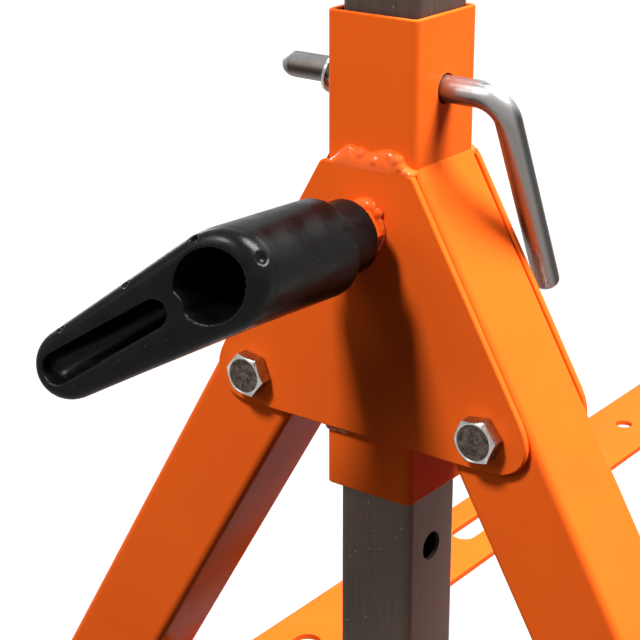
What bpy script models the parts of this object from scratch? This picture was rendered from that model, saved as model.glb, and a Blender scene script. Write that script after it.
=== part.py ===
"""Telescopic folding sawhorse, modelled piece by piece in metres, +Z up.

The origin is on the floor, midway between the two A-frame ends. X runs across the legs,
Y along the top beam. Each end is drawn in its own end frame, whose origin is on the sleeve
axis at the sleeve's top with -Y facing outward, and is then set at the front or the rear.
"""
import math

import bmesh
import bpy
from mathutils import Matrix, Vector

# Whole object
FRAME_SPACING = 0.900        # between the two sleeve axes, along Y
PIVOT_HEIGHT = 0.3904        # leg pivot bolts above the floor
BEAM_OVERHANG = 0.070        # beam past each sleeve axis
BEAM_CLEAR = 0.110           # sleeve top to beam underside, as it stands
SEAT = 0.0003                # gap left between pieces that touch

# Sleeve and telescopic post
SLEEVE_SIDE = 0.040
SLEEVE_WALL = 0.002
SLEEVE_LENGTH = 0.190
POST_SIDE = 0.034
POST_WALL = 0.002
POST_ASIDE = 0.0007          # post sits this far back and to the right in its sleeve
POST_CORNER = 0.0036
TUBE_CORNER = 0.003          # outer corner radius of the other square tubes
HOLE_PITCH = 0.0625          # height holes along the post
HOLES_ABOVE = 1              # height holes above the one in use
HOLES_BELOW = 5              # height holes below the one in use
POST_END = 0.030             # lowest height hole to the post's lower end
BEAM_WIDTH = 0.050
BEAM_HEIGHT = 0.040
BEAM_WALL = 0.002
CAP_FLANGE = 0.003
CAP_PLUG = 0.012

# Gusset plates and legs
PLATE_THICKNESS = 0.003
PLATE_TOP_DROP = 0.0558      # plate's top edge below the sleeve top
PLATE_FOOT = 0.0143          # plate's bottom edge below the pivot bolts
PLATE_REACH = 0.0178         # plate's side edges out from the pivot bolts
PLATE_CORNER = 0.0155        # radius of the plate's lower corners
PLATE_TOP_CORNER = 0.002
PIVOT_DROP = 0.1496          # pivot bolts below the sleeve top
PIVOT_OUT = 0.054            # pivot bolts out from the sleeve axis
LEG_ANGLE = math.radians(30.0)
LEG_SIDE = 0.040
LEG_WALL = 0.002
LEG_OFFSET = 0.0015          # leg centreline inward of its pivot
FOOT_BASE = 0.008
FOOT_WALL = 0.003
FOOT_SKIRT = 0.030           # how far up the leg the foot cap reaches

# Stretchers
RAIL_DROP = 0.2104           # stretcher top below the pivot bolts
RAIL_WIDTH = 0.050
RAIL_SHEET = 0.003
RAIL_WEB = 0.024
RAIL_END_WIDTH = 0.022       # what is left of the top beside the posts
RAIL_END_CLEAR = 0.007       # trimmed length past the post's inward face
SLOT_WIDTH = 0.014
MID_SLOT_LENGTH = 0.133
MID_SLOT_CENTRE = 0.1355     # slots from the middle of the stretcher
END_SLOT_LENGTH = 0.072
END_SLOT_INSET = 0.076       # end slots from the sleeve axes
RAIL_HOLE = 0.011
RAIL_BOLT_DROP = 0.013       # stretcher bolts down the web

# Fasteners: shank, across flats, head height, nut height
PIVOT_BOLT = {"shank": 0.010, "flats": 0.016, "head": 0.0064, "nut": 0.008, "spare": 0.005}
RAIL_BOLT = {"shank": 0.008, "flats": 0.013, "head": 0.0053, "nut": 0.0065, "spare": 0.004}
BOLT_PLAY = 0.0004           # radial play of a bolt in its hole
PIVOT_TURN = math.radians(8.0)

# Height pin
PIN_DROP = 0.028             # pin axis below the sleeve top
PIN_DIAMETER = 0.0102
PIN_PLAY = 0.0008            # radial play of the pin in its holes
PIN_TIP = 0.034              # pin past the sleeve on the tip side
PIN_TAPER = 0.005
PIN_TIP_SHARE = 0.6          # flat end as a share of the pin's diameter
PIN_BEND_OUT = 0.024         # arm centreline out from the sleeve face
PIN_BEND_RADIUS = 0.0108
PIN_ARM = 0.0795
PIN_SWING = math.radians(25.2)
BUSH_DIAMETER = 0.014
BUSH_FLANGE = 0.0176
BUSH_FLANGE_THICKNESS = 0.0012
BUSH_LENGTH = 0.0108
BUSH_PLAY = 0.0003

# Clamp lever, drawn along its arm (r), across it (t) and outward along the screw (a)
LEVER_DROP = 0.0795          # lever axis below the sleeve top
LEVER_DIP = math.radians(35.0)
STUD_DIAMETER = 0.010
CLAMP_NUT_FLATS = 0.017
CLAMP_NUT_HEIGHT = 0.0096
COLLAR_RADIUS = 0.0142
COLLAR_LENGTH = 0.017
HUB_RADIUS = 0.0185
HUB_EDGE = 0.0012
HUB_LENGTH = 0.050
NOSE_RADIUS = 0.018          # round front of the lever about its recess
NOSE_RISE = 0.003            # recess centre above the screw axis
FACE_OUT = 0.0785            # front face past the collar, on the axis
FACE_LEAN = 0.343            # front face comes outward along the arm by this slope
ARM_LENGTH = 0.0587          # screw axis to the centre of the arm's round end
ARM_END_RADIUS = 0.0124
ARM_DEPTH = 0.030            # front to back at the hub
ARM_END_DEPTH = 0.012
ARM_EDGE = 0.0022
RECESS_RADIUS = 0.0126
RECESS_DEPTH = 0.042
POCKET_START = 0.0214
POCKET_END = 0.061
POCKET_RADIUS = 0.005
POCKET_DEPTH = 0.007
POCKET_RISE = 0.0035
BORE_END = 0.002             # stud stops this far short of the recess floor

# Facets
CORNER_STEPS = 2
HOLE_SIDES = 12
ROUND_SIDES = 20
HEX_SIDE_STEPS = 2

# Finishes: colour, roughness, metallic
ORANGE_COAT = ((0.63, 0.085, 0.012), 0.32, 0.0)
BARE_STEEL = ((0.16, 0.14, 0.125), 0.45, 0.9)
ZINC_STEEL = ((0.55, 0.55, 0.53), 0.30, 1.0)
BLACK_NYLON = ((0.012, 0.012, 0.013), 0.42, 0.0)
GREY_RUBBER = ((0.20, 0.19, 0.185), 0.7, 0.0)

# Worked out from the above
SLEEVE_TOP = PIVOT_HEIGHT + PIVOT_DROP
SLEEVE_HALF = SLEEVE_SIDE / 2
PLATE_INNER = SLEEVE_HALF + SEAT
PLATE_OUTER = PLATE_INNER + PLATE_THICKNESS
CLAMP_FACE = PLATE_OUTER + SEAT + CLAMP_NUT_HEIGHT + SEAT
HUB_START = CLAMP_FACE + COLLAR_LENGTH
FACE_CENTRE = CLAMP_FACE + FACE_OUT
RECESS_FLOOR = FACE_CENTRE - RECESS_DEPTH
LEG_INNER = -LEG_SIDE / 2 - LEG_OFFSET
PIVOT = Vector((PIVOT_OUT, 0.0, -PIVOT_DROP))
LEG_ALONG = Vector((math.sin(LEG_ANGLE), 0.0, -math.cos(LEG_ANGLE)))
LEG_ACROSS = Vector((math.cos(LEG_ANGLE), 0.0, math.sin(LEG_ANGLE)))
PIN_HOLE_RADIUS = PIN_DIAMETER / 2 + PIN_PLAY
BEAM_LENGTH = FRAME_SPACING + 2 * BEAM_OVERHANG
RAIL_LENGTH = FRAME_SPACING + LEG_SIDE
BEAM_BOTTOM = SLEEVE_TOP + BEAM_CLEAR
END_SLOT_CENTRE = FRAME_SPACING / 2 - END_SLOT_INSET
MID_SLOT_END = MID_SLOT_CENTRE + MID_SLOT_LENGTH / 2
RAIL_HOLE_CENTRE = (MID_SLOT_END + END_SLOT_CENTRE - END_SLOT_LENGTH / 2) / 2
MIRROR_X = Matrix.Scale(-1.0, 4, (1.0, 0.0, 0.0))
END_PLACES = {
    "front": Matrix.Translation((0.0, -FRAME_SPACING / 2, SLEEVE_TOP)),
    "rear": Matrix.Translation((0.0, FRAME_SPACING / 2, SLEEVE_TOP)) @ Matrix.Rotation(math.pi, 4, "Z"),
}
HAND_PLACES = {"left": MIRROR_X, "right": Matrix()}


def clear_scene():
    for item in list(bpy.data.objects):
        bpy.data.objects.remove(item, do_unlink=True)


def finish_material(name, finish):
    colour, roughness, metallic = finish
    material = bpy.data.materials.new(name + "_finish")
    material.use_nodes = True
    shader = material.node_tree.nodes["Principled BSDF"]
    shader.inputs["Base Color"].default_value = (*colour, 1.0)
    shader.inputs["Roughness"].default_value = roughness
    shader.inputs["Metallic"].default_value = metallic
    return material


def add_object(name, shape, place, origin):
    """Turn a shape into an object whose origin lies on a world point."""
    shape.transform(place)
    shape.transform(Matrix.Translation(-Vector(origin)))
    bmesh.ops.recalc_face_normals(shape, faces=shape.faces)
    mesh = bpy.data.meshes.new(name)
    shape.to_mesh(mesh)
    shape.free()
    item = bpy.data.objects.new(name, mesh)
    item.location = origin
    bpy.context.scene.collection.objects.link(item)
    return item


def solid(name, shape, finish, place=Matrix(), origin=(0.0, 0.0, 0.0)):
    """One piece of the sawhorse."""
    item = add_object(name, shape, place, origin)
    item.data.shade_smooth()
    item.data.set_sharp_from_angle(angle=math.radians(35.0))
    item.data.materials.append(finish_material(name, finish))
    return item


def combine(item, shape, operation, place=Matrix()):
    """Cut a hidden shape from a piece, or join it on."""
    label = item.name + "_" + operation.lower()
    tool = add_object(label, shape, place, item.location)
    tool.hide_render = True
    tool.display_type = "WIRE"
    step = item.modifiers.new(label, "BOOLEAN")
    step.operation = operation
    step.solver = "EXACT"
    step.object = tool


def along(axis, origin=(0.0, 0.0, 0.0)):
    """Stand a shape that was drawn along Z on another axis."""
    turn = Vector((0.0, 0.0, 1.0)).rotation_difference(Vector(axis))
    return Matrix.Translation(origin) @ turn.to_matrix().to_4x4()


def loft(shape, rings, closed=False):
    """Skin a row of rings with equal point counts, capped unless the row closes on itself."""
    loops = [[shape.verts.new(point) for point in ring] for ring in rings]
    pairs = list(zip(loops, loops[1:]))
    if closed:
        pairs.append((loops[-1], loops[0]))
    for low, high in pairs:
        for index in range(len(low)):
            after = (index + 1) % len(low)
            shape.faces.new((low[index], low[after], high[after], high[index]))
    if not closed:
        shape.faces.new(loops[0])
        shape.faces.new(loops[-1])


def circle(radius, height=0.0, sides=ROUND_SIDES, centre=(0.0, 0.0)):
    turns = [2 * math.pi * index / sides for index in range(sides)]
    middle = Vector((centre[0], centre[1], height))
    return [middle + Vector((math.cos(t), math.sin(t), 0.0)) * radius for t in turns]


def leg_place(end, hand):
    """Place of one leg: the rear head is turned half round, so its hands change over."""
    drawn = hand if end == "front" else {"left": "right", "right": "left"}[hand]
    return END_PLACES[end] @ HAND_PLACES[drawn]


def arc(centre, radius, start, end, steps):
    turns = [start + (end - start) * index / steps for index in range(steps + 1)]
    return [(centre[0] + radius * math.cos(t), centre[1] + radius * math.sin(t)) for t in turns]


def rounded_box(width, depth, corner):
    points = []
    for quarter, signs in enumerate(((1, 1), (-1, 1), (-1, -1), (1, -1))):
        start = quarter * math.pi / 2
        centre = (signs[0] * (width / 2 - corner), signs[1] * (depth / 2 - corner))
        points += arc(centre, corner, start, start + math.pi / 2, CORNER_STEPS)
    return points


def rounded_square(side, corner):
    return rounded_box(side, side, corner)


def rounded_outline(corners, radii, steps=4):
    """A polygon, counter-clockwise and convex, with its corners rounded."""
    points = []
    count = len(corners)
    for index, radius in enumerate(radii):
        here = Vector(corners[index])
        back = (Vector(corners[index - 1]) - here).normalized()
        ahead = (Vector(corners[(index + 1) % count]) - here).normalized()
        half = back.angle(ahead) / 2
        middle = here + (back + ahead).normalized() * radius / math.sin(half)
        first = here + back * radius / math.tan(half) - middle
        start = math.atan2(first.y, first.x)
        points += arc(middle, radius, start, start + math.pi - 2 * half, steps)
    return points


def prism(shape, outline, low, high):
    loft(shape, [[Vector((x, y, height)) for x, y in outline] for height in (low, high)])


def straight_tube(width, depth, wall, length, corner=TUBE_CORNER):
    """Box-section tube along Z from 0 to length."""
    shape = bmesh.new()
    outer = rounded_box(width, depth, corner)
    inner = rounded_box(width - 2 * wall, depth - 2 * wall, max(corner - wall, wall / 4))
    ends = ((outer, 0.0), (outer, length), (inner, length), (inner, 0.0))
    loft(shape, [[Vector((x, y, height)) for x, y in ring] for ring, height in ends], closed=True)
    return shape


def leg_ring(outline, point, normal):
    """A section of the right leg's run where it meets a plane, in the end frame."""
    ring = []
    for across, depth in outline:
        start = PIVOT + LEG_ACROSS * (across - LEG_OFFSET) + Vector((0.0, depth, 0.0))
        run = (Vector(point) - start).dot(Vector(normal)) / LEG_ALONG.dot(Vector(normal))
        ring.append(start + LEG_ALONG * run)
    return ring


def round_cutter(shape, place, radius, low, high, sides=HOLE_SIDES):
    """Add one round cutter, drawn along Z between two heights, to a shape."""
    loft(shape, [[place @ point for point in circle(radius, height, sides)] for height in (low, high)])


def cross_holes(radius, axis, centres, reach, sides=HOLE_SIDES):
    """Round cutters through several points, all along one axis."""
    shape = bmesh.new()
    for centre in centres:
        round_cutter(shape, along(axis, centre), radius, -reach, reach, sides)
    return shape


def hex_ring(flats, height, slope=0.0, start=0.0):
    """A hexagon whose points fall away past a radius, as a chamfered head's do."""
    points = []
    for side in range(6):
        first = Vector((math.cos(side * math.pi / 3), math.sin(side * math.pi / 3), 0.0))
        second = Vector((math.cos((side + 1) * math.pi / 3), math.sin((side + 1) * math.pi / 3), 0.0))
        for step in range(HEX_SIDE_STEPS):
            point = first.lerp(second, step / HEX_SIDE_STEPS) * flats / math.sqrt(3)
            fall = max(0.0, point.length - start) * slope
            points.append(point + Vector((0.0, 0.0, height - fall)))
    return points


def hex_circle(radius, height):
    return circle(radius, height, 6 * HEX_SIDE_STEPS)


def hex_bolt(size, grip):
    """Bolt along -Z: its head stands on Z = 0 and its shank reaches past the nut."""
    shape = bmesh.new()
    radius = size["shank"] / 2
    end = -(grip + size["nut"] + size["spare"])
    bevel = radius / 6
    face = size["flats"] * 0.47
    loft(shape, [
        hex_circle(face, size["head"]),
        hex_ring(size["flats"], size["head"], math.tan(math.radians(30.0)), face),
        hex_ring(size["flats"], 0.0),
        hex_circle(radius, 0.0),
        hex_circle(radius, end + bevel),
        hex_circle(radius - bevel, end),
    ])
    return shape


def hex_nut(flats, bore, height):
    """Nut along Z from 0, its outer corners chamfered."""
    shape = bmesh.new()
    slope = math.tan(math.radians(30.0))
    low = hex_ring(flats, 0.0, -slope, flats / 2)
    high = hex_ring(flats, height, slope, flats / 2)
    loft(shape, [hex_circle(bore, 0.0), low, high, hex_circle(bore, height)], closed=True)
    return shape


def build_sleeve(end, place):
    shape = straight_tube(SLEEVE_SIDE, SLEEVE_SIDE, SLEEVE_WALL, SLEEVE_LENGTH)
    lower_end = place @ Matrix.Translation((0.0, 0.0, -SLEEVE_LENGTH))
    sleeve = solid(end + "_sleeve", shape, ORANGE_COAT, lower_end)
    holes = cross_holes(PIN_HOLE_RADIUS, (1.0, 0.0, 0.0), [(0.0, 0.0, -PIN_DROP)], SLEEVE_SIDE)
    stud = along((0.0, -1.0, 0.0), (0.0, 0.0, -LEVER_DROP))
    bore = STUD_DIAMETER / 2 + BOLT_PLAY
    round_cutter(holes, stud, bore, 0.0, SLEEVE_SIDE)
    combine(sleeve, holes, "DIFFERENCE", place)


def build_plates(end, place):
    """Gusset plates, their side edges along the legs' outer faces."""
    bottom = -PIVOT_DROP - PLATE_FOOT
    top = -PLATE_TOP_DROP

    def edge(height):
        return PIVOT_OUT + (PLATE_REACH - (height + PIVOT_DROP) * LEG_ACROSS.z) / LEG_ACROSS.x

    corners = [(-edge(bottom), bottom), (edge(bottom), bottom), (edge(top), top), (-edge(top), top)]
    outline = rounded_outline(corners, [PLATE_CORNER, PLATE_CORNER, PLATE_TOP_CORNER, PLATE_TOP_CORNER])
    upright = Matrix.Rotation(math.pi / 2, 4, "X")
    centres = [(-PIVOT_OUT, 0.0, -PIVOT_DROP), (PIVOT_OUT, 0.0, -PIVOT_DROP)]
    for name, low, high in (("outer", PLATE_INNER, PLATE_OUTER), ("inner", -PLATE_OUTER, -PLATE_INNER)):
        shape = bmesh.new()
        prism(shape, outline, low, high)
        plate = solid(end + "_" + name + "_plate", shape, ORANGE_COAT, place @ upright)
        holes = cross_holes(PIVOT_BOLT["shank"] / 2 + BOLT_PLAY, (0.0, 1.0, 0.0), centres, SLEEVE_SIDE)
        if name == "outer":
            stud = along((0.0, 1.0, 0.0), (0.0, 0.0, -LEVER_DROP))
            bore = STUD_DIAMETER / 2 + BOLT_PLAY
            round_cutter(holes, stud, bore, -SLEEVE_SIDE, SLEEVE_SIDE)
        combine(plate, holes, "DIFFERENCE", place)


def build_leg(end, hand):
    """Leg with a mitred top against the sleeve and a level foot end, and its foot cap."""
    set_leg = leg_place(end, hand)
    pivot = set_leg @ PIVOT
    floor = (0.0, 0.0, -SLEEVE_TOP)
    foot_top = (0.0, 0.0, FOOT_BASE + SEAT - SLEEVE_TOP)
    mitre = (SLEEVE_HALF + SEAT, 0.0, 0.0)
    level = (0.0, 0.0, 1.0)
    outer = rounded_square(LEG_SIDE, TUBE_CORNER)
    inner = rounded_square(LEG_SIDE - 2 * LEG_WALL, TUBE_CORNER - LEG_WALL)
    shape = bmesh.new()
    loft(shape, [
        leg_ring(outer, mitre, (1.0, 0.0, 0.0)),
        leg_ring(outer, foot_top, level),
        leg_ring(inner, foot_top, level),
        leg_ring(inner, mitre, (1.0, 0.0, 0.0)),
    ], closed=True)
    leg = solid(end + "_" + hand + "_leg", shape, ORANGE_COAT, set_leg, pivot)
    holes = cross_holes(PIVOT_BOLT["shank"] / 2 + BOLT_PLAY, (0.0, 1.0, 0.0), [PIVOT], LEG_SIDE)
    rail = along(LEG_ACROSS, rail_bolt_point())
    radius = RAIL_BOLT["shank"] / 2 + BOLT_PLAY
    round_cutter(holes, rail, radius, -LEG_SIDE / 4, 1.5 * LEG_SIDE)
    combine(leg, holes, "DIFFERENCE", set_leg)

    cap = rounded_square(LEG_SIDE + 2 * (FOOT_WALL + SEAT), TUBE_CORNER + FOOT_WALL)
    socket = rounded_square(LEG_SIDE + 2 * SEAT, TUBE_CORNER + SEAT)
    skirt = PIVOT + LEG_ALONG * (PIVOT_HEIGHT / math.cos(LEG_ANGLE) - FOOT_SKIRT - LEG_SIDE / 2)
    socket_floor = (0.0, 0.0, FOOT_BASE - SLEEVE_TOP)
    shape = bmesh.new()
    loft(shape, [
        leg_ring(cap, floor, level),
        leg_ring(cap, skirt, LEG_ALONG),
        leg_ring(socket, skirt, LEG_ALONG),
        leg_ring(socket, socket_floor, level),
    ])
    solid(end + "_" + hand + "_foot", shape, GREY_RUBBER, set_leg, pivot)


def build_pivot_bolt(end, hand):
    """Bolt through both plates and the leg, its head outside and its nut inside."""
    set_leg = leg_place(end, hand)
    pivot = set_leg @ PIVOT
    grip = 2 * (PLATE_OUTER + SEAT)
    spin = Matrix.Rotation(PIVOT_TURN, 4, "Z")
    head = along((0.0, -1.0, 0.0), PIVOT - Vector((0.0, PLATE_OUTER + SEAT, 0.0)))
    shape = hex_bolt(PIVOT_BOLT, grip)
    solid(end + "_" + hand + "_pivot_bolt", shape, ZINC_STEEL, set_leg @ head @ spin, pivot)
    nut = along((0.0, 1.0, 0.0), PIVOT + Vector((0.0, PLATE_OUTER + SEAT, 0.0)))
    shape = hex_nut(PIVOT_BOLT["flats"], PIVOT_BOLT["shank"] / 2 + SEAT, PIVOT_BOLT["nut"])
    solid(end + "_" + hand + "_pivot_nut", shape, ZINC_STEEL, set_leg @ nut, pivot)


def rail_corner():
    """Where the right stretcher's top meets the leg's inner face, in the end frame."""
    height = -PIVOT_DROP - RAIL_DROP
    across = LEG_INNER - SEAT
    return Vector((PIVOT_OUT + (across + RAIL_DROP * LEG_ACROSS.z) / LEG_ACROSS.x, 0.0, height))


def rail_bolt_point():
    """A stretcher bolt's axis where it crosses the web's outer face, in the end frame."""
    return rail_corner() + LEG_ALONG * RAIL_BOLT_DROP


def obround(length, width, centre, steps=4):
    half = (length - width) / 2
    ends = ((half, -math.pi / 2), (-half, math.pi / 2))
    return [point for shift, start in ends
            for point in arc((centre[0] + shift, centre[1]), width / 2, start, start + math.pi, steps)]


def rail_cutters(corner):
    """Slots, holes and trimmed ends in the stretcher's top, as shapes drawn with Y up."""
    shape = bmesh.new()
    low = corner.z - RAIL_SHEET - 2 * SEAT
    high = corner.z + RAIL_SHEET
    middle = corner.x - RAIL_WIDTH / 2
    flat = Matrix.Rotation(math.pi / 2, 4, "Z")
    outlines = []
    for centre in (-RAIL_HOLE_CENTRE, 0.0, RAIL_HOLE_CENTRE):
        outlines.append(arc((centre, -middle), RAIL_HOLE / 2, 0.0, 2 * math.pi, HOLE_SIDES)[:-1])
    for sign in (-1, 1):
        outlines.append(obround(MID_SLOT_LENGTH, SLOT_WIDTH, (sign * MID_SLOT_CENTRE, -middle)))
        outlines.append(obround(END_SLOT_LENGTH, SLOT_WIDTH, (sign * END_SLOT_CENTRE, -middle)))
        start = sign * (FRAME_SPACING / 2 - POST_SIDE / 2 - POST_ASIDE - RAIL_END_CLEAR)
        end = sign * RAIL_LENGTH
        side = -corner.x + RAIL_END_WIDTH
        edge = -corner.x + 2 * RAIL_WIDTH
        outlines.append([(start, side), (end, side), (end, edge), (start, edge)])
    for outline in outlines:
        loft(shape, [[flat @ Vector((x, y, height)) for x, y in outline] for height in (low, high)])
    return shape


def build_stretcher(hand):
    """Slotted rail joining the two legs of one side, bent down against their inner faces."""
    lift = Matrix.Translation((0.0, 0.0, SLEEVE_TOP)) @ HAND_PLACES[hand]
    corner = rail_corner()
    down = LEG_ALONG * RAIL_WEB
    inside = -LEG_ACROSS * RAIL_SHEET
    slip = RAIL_SHEET * (1 - LEG_ACROSS.z) / LEG_ACROSS.x
    section = [
        corner,
        corner + Vector((-RAIL_WIDTH, 0.0, 0.0)),
        corner + Vector((-RAIL_WIDTH, 0.0, -RAIL_SHEET)),
        corner + Vector((-slip, 0.0, -RAIL_SHEET)),
        corner + down + inside,
        corner + down,
    ]
    shape = bmesh.new()
    ends = (-RAIL_LENGTH / 2, RAIL_LENGTH / 2)
    loft(shape, [[point + Vector((0.0, end, 0.0)) for point in section] for end in ends])
    pivot = lift @ PIVOT
    rail = solid(hand + "_stretcher", shape, ORANGE_COAT, lift, pivot)
    cutters = rail_cutters(corner)
    for sign in (-1, 1):
        bolt = along(LEG_ACROSS, rail_bolt_point() + Vector((0.0, sign * FRAME_SPACING / 2, 0.0)))
        radius = RAIL_BOLT["shank"] / 2 + BOLT_PLAY
        round_cutter(cutters, bolt, radius, -2 * RAIL_SHEET, 2 * RAIL_SHEET)
    combine(rail, cutters, "DIFFERENCE", lift)


def build_rail_bolt(end, hand):
    """Bolt through a leg into the stretcher's web, its nut on the web's inner face."""
    set_leg = leg_place(end, hand)
    pivot = set_leg @ PIVOT
    grip = LEG_SIDE + RAIL_SHEET + 3 * SEAT
    outside = rail_bolt_point() + LEG_ACROSS * (LEG_SIDE + 2 * SEAT)
    inside = rail_bolt_point() - LEG_ACROSS * (RAIL_SHEET + SEAT)
    solid(end + "_" + hand + "_rail_bolt", hex_bolt(RAIL_BOLT, grip), ZINC_STEEL,
          set_leg @ along(LEG_ACROSS, outside), pivot)
    shape = hex_nut(RAIL_BOLT["flats"], RAIL_BOLT["shank"] / 2 + SEAT, RAIL_BOLT["nut"])
    solid(end + "_" + hand + "_rail_nut", shape, ZINC_STEEL, set_leg @ along(-LEG_ACROSS, inside), pivot)


def build_post(end, place):
    """Telescopic post with its row of height holes, up to the beam's underside."""
    low = -PIN_DROP - HOLES_BELOW * HOLE_PITCH - POST_END
    length = BEAM_CLEAR - SEAT - low
    shape = straight_tube(POST_SIDE, POST_SIDE, POST_WALL, length, POST_CORNER)
    axis = place @ Vector((0.0, 0.0, 0.0))
    stand = place @ Matrix.Translation((POST_ASIDE, POST_ASIDE, low))
    post = solid(end + "_post", shape, BARE_STEEL, stand, axis)
    heights = [-PIN_DROP + step * HOLE_PITCH for step in range(-HOLES_BELOW, HOLES_ABOVE + 1)]
    centres = [(0.0, 0.0, height) for height in heights]
    combine(post, cross_holes(PIN_HOLE_RADIUS, (1.0, 0.0, 0.0), centres, SLEEVE_SIDE), "DIFFERENCE", place)


def build_beam():
    """Top beam across both posts, with a plug cap in each end."""
    start = Matrix.Translation((0.0, BEAM_LENGTH / 2, BEAM_BOTTOM + BEAM_HEIGHT / 2))
    lie = start @ Matrix.Rotation(math.pi / 2, 4, "X")
    solid("top_beam", straight_tube(BEAM_WIDTH, BEAM_HEIGHT, BEAM_WALL, BEAM_LENGTH), BARE_STEEL, lie)
    inset = 2 * (BEAM_WALL + SEAT)
    flange = rounded_box(BEAM_WIDTH, BEAM_HEIGHT, TUBE_CORNER)
    plug = rounded_box(BEAM_WIDTH - inset, BEAM_HEIGHT - inset, TUBE_CORNER - BEAM_WALL)
    for end, sign in (("front", -1), ("rear", 1)):
        shape = bmesh.new()
        rows = ((flange, CAP_FLANGE + SEAT), (flange, SEAT), (plug, SEAT), (plug, -CAP_PLUG))
        loft(shape, [[Vector((x, y, height)) for x, y in ring] for ring, height in rows])
        middle = Matrix.Translation((0.0, sign * BEAM_LENGTH / 2, BEAM_BOTTOM + BEAM_HEIGHT / 2))
        seat = middle @ Matrix.Rotation(-sign * math.pi / 2, 4, "X")
        solid(end + "_beam_cap", shape, BLACK_NYLON, seat)


def pin_path():
    """Centreline of the pin from its tip, through its bend and down its arm, in the end frame."""
    arm_out = SLEEVE_HALF + PIN_BEND_OUT
    down = Vector((0.0, math.sin(PIN_SWING), -math.cos(PIN_SWING)))
    across = Vector((1.0, 0.0, 0.0))
    level = Vector((0.0, 0.0, -PIN_DROP))
    bend = level + across * (arm_out - PIN_BEND_RADIUS)
    points = [level - across * (SLEEVE_HALF + PIN_TIP)]
    steps = 6
    for index in range(steps + 1):
        turn = math.pi / 2 * index / steps
        points.append(bend + (across * math.sin(turn) + down * (1 - math.cos(turn))) * PIN_BEND_RADIUS)
    points.append(points[-1] + down * PIN_ARM)
    return points, across, down


def build_pin(end, place):
    """Bent height pin with a tapered tip and a domed handle, and the flanged bush it runs in."""
    points, across, down = pin_path()
    side = across.cross(down)
    radius = PIN_DIAMETER / 2
    rings = []
    last = len(points) - 1
    dome = (0.0, 35.0, 70.0)
    sides = HOLE_SIDES
    for index, point in enumerate(points):
        turn = math.pi / 2 * min(max(index - 1, 0), last - 2) / (last - 2)
        ahead = across * math.cos(turn) + down * math.sin(turn)
        lift = down * math.cos(turn) - across * math.sin(turn)
        angles = [math.radians(a) for a in dome]
        rows = [(0.0, radius)]
        if index == 0:
            rows = [(0.0, radius * PIN_TIP_SHARE), (PIN_TAPER, radius)]
        if index == last:
            rows = [(radius * (math.sin(a) - 1), radius * math.cos(a)) for a in angles]
        for shift, size in rows:
            middle = point + ahead * shift
            turns = [2 * math.pi * step / sides for step in range(sides)]
            rings.append([middle + (lift * math.cos(t) + side * math.sin(t)) * size for t in turns])
    shape = bmesh.new()
    loft(shape, rings)
    axis = place @ Vector((0.0, 0.0, -PIN_DROP))
    solid(end + "_pin", shape, ZINC_STEEL, place, axis)

    shape = bmesh.new()
    bore = radius + BUSH_PLAY
    neck = BUSH_LENGTH - BUSH_FLANGE_THICKNESS
    rows = (
        (bore, 0.0), (BUSH_DIAMETER / 2, 0.0), (BUSH_DIAMETER / 2, neck),
        (BUSH_FLANGE / 2, neck), (BUSH_FLANGE / 2, BUSH_LENGTH), (bore, BUSH_LENGTH),
    )
    loft(shape, [circle(size, height) for size, height in rows], closed=True)
    seat = along((-1.0, 0.0, 0.0), (-SLEEVE_HALF - SEAT, 0.0, -PIN_DROP))
    solid(end + "_pin_bush", shape, ZINC_STEEL, place @ seat, axis)


def arm_outline(inset):
    """Lever seen along its screw: a round nose about the recess, tapering to a round end."""
    nose = Vector((-NOSE_RISE * math.sin(LEVER_DIP), NOSE_RISE * math.cos(LEVER_DIP)))
    tip = Vector((ARM_LENGTH, nose.y))
    fall = math.asin((NOSE_RADIUS - ARM_END_RADIUS) / (tip.x - nose.x))
    top = math.pi / 2 - fall
    points = arc(tip, ARM_END_RADIUS - inset, -top, top, 6)
    points += arc(nose, NOSE_RADIUS - inset, top, 2 * math.pi - top, 10)
    return points


def face_out(run):
    return FACE_CENTRE + FACE_LEAN * run


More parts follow.
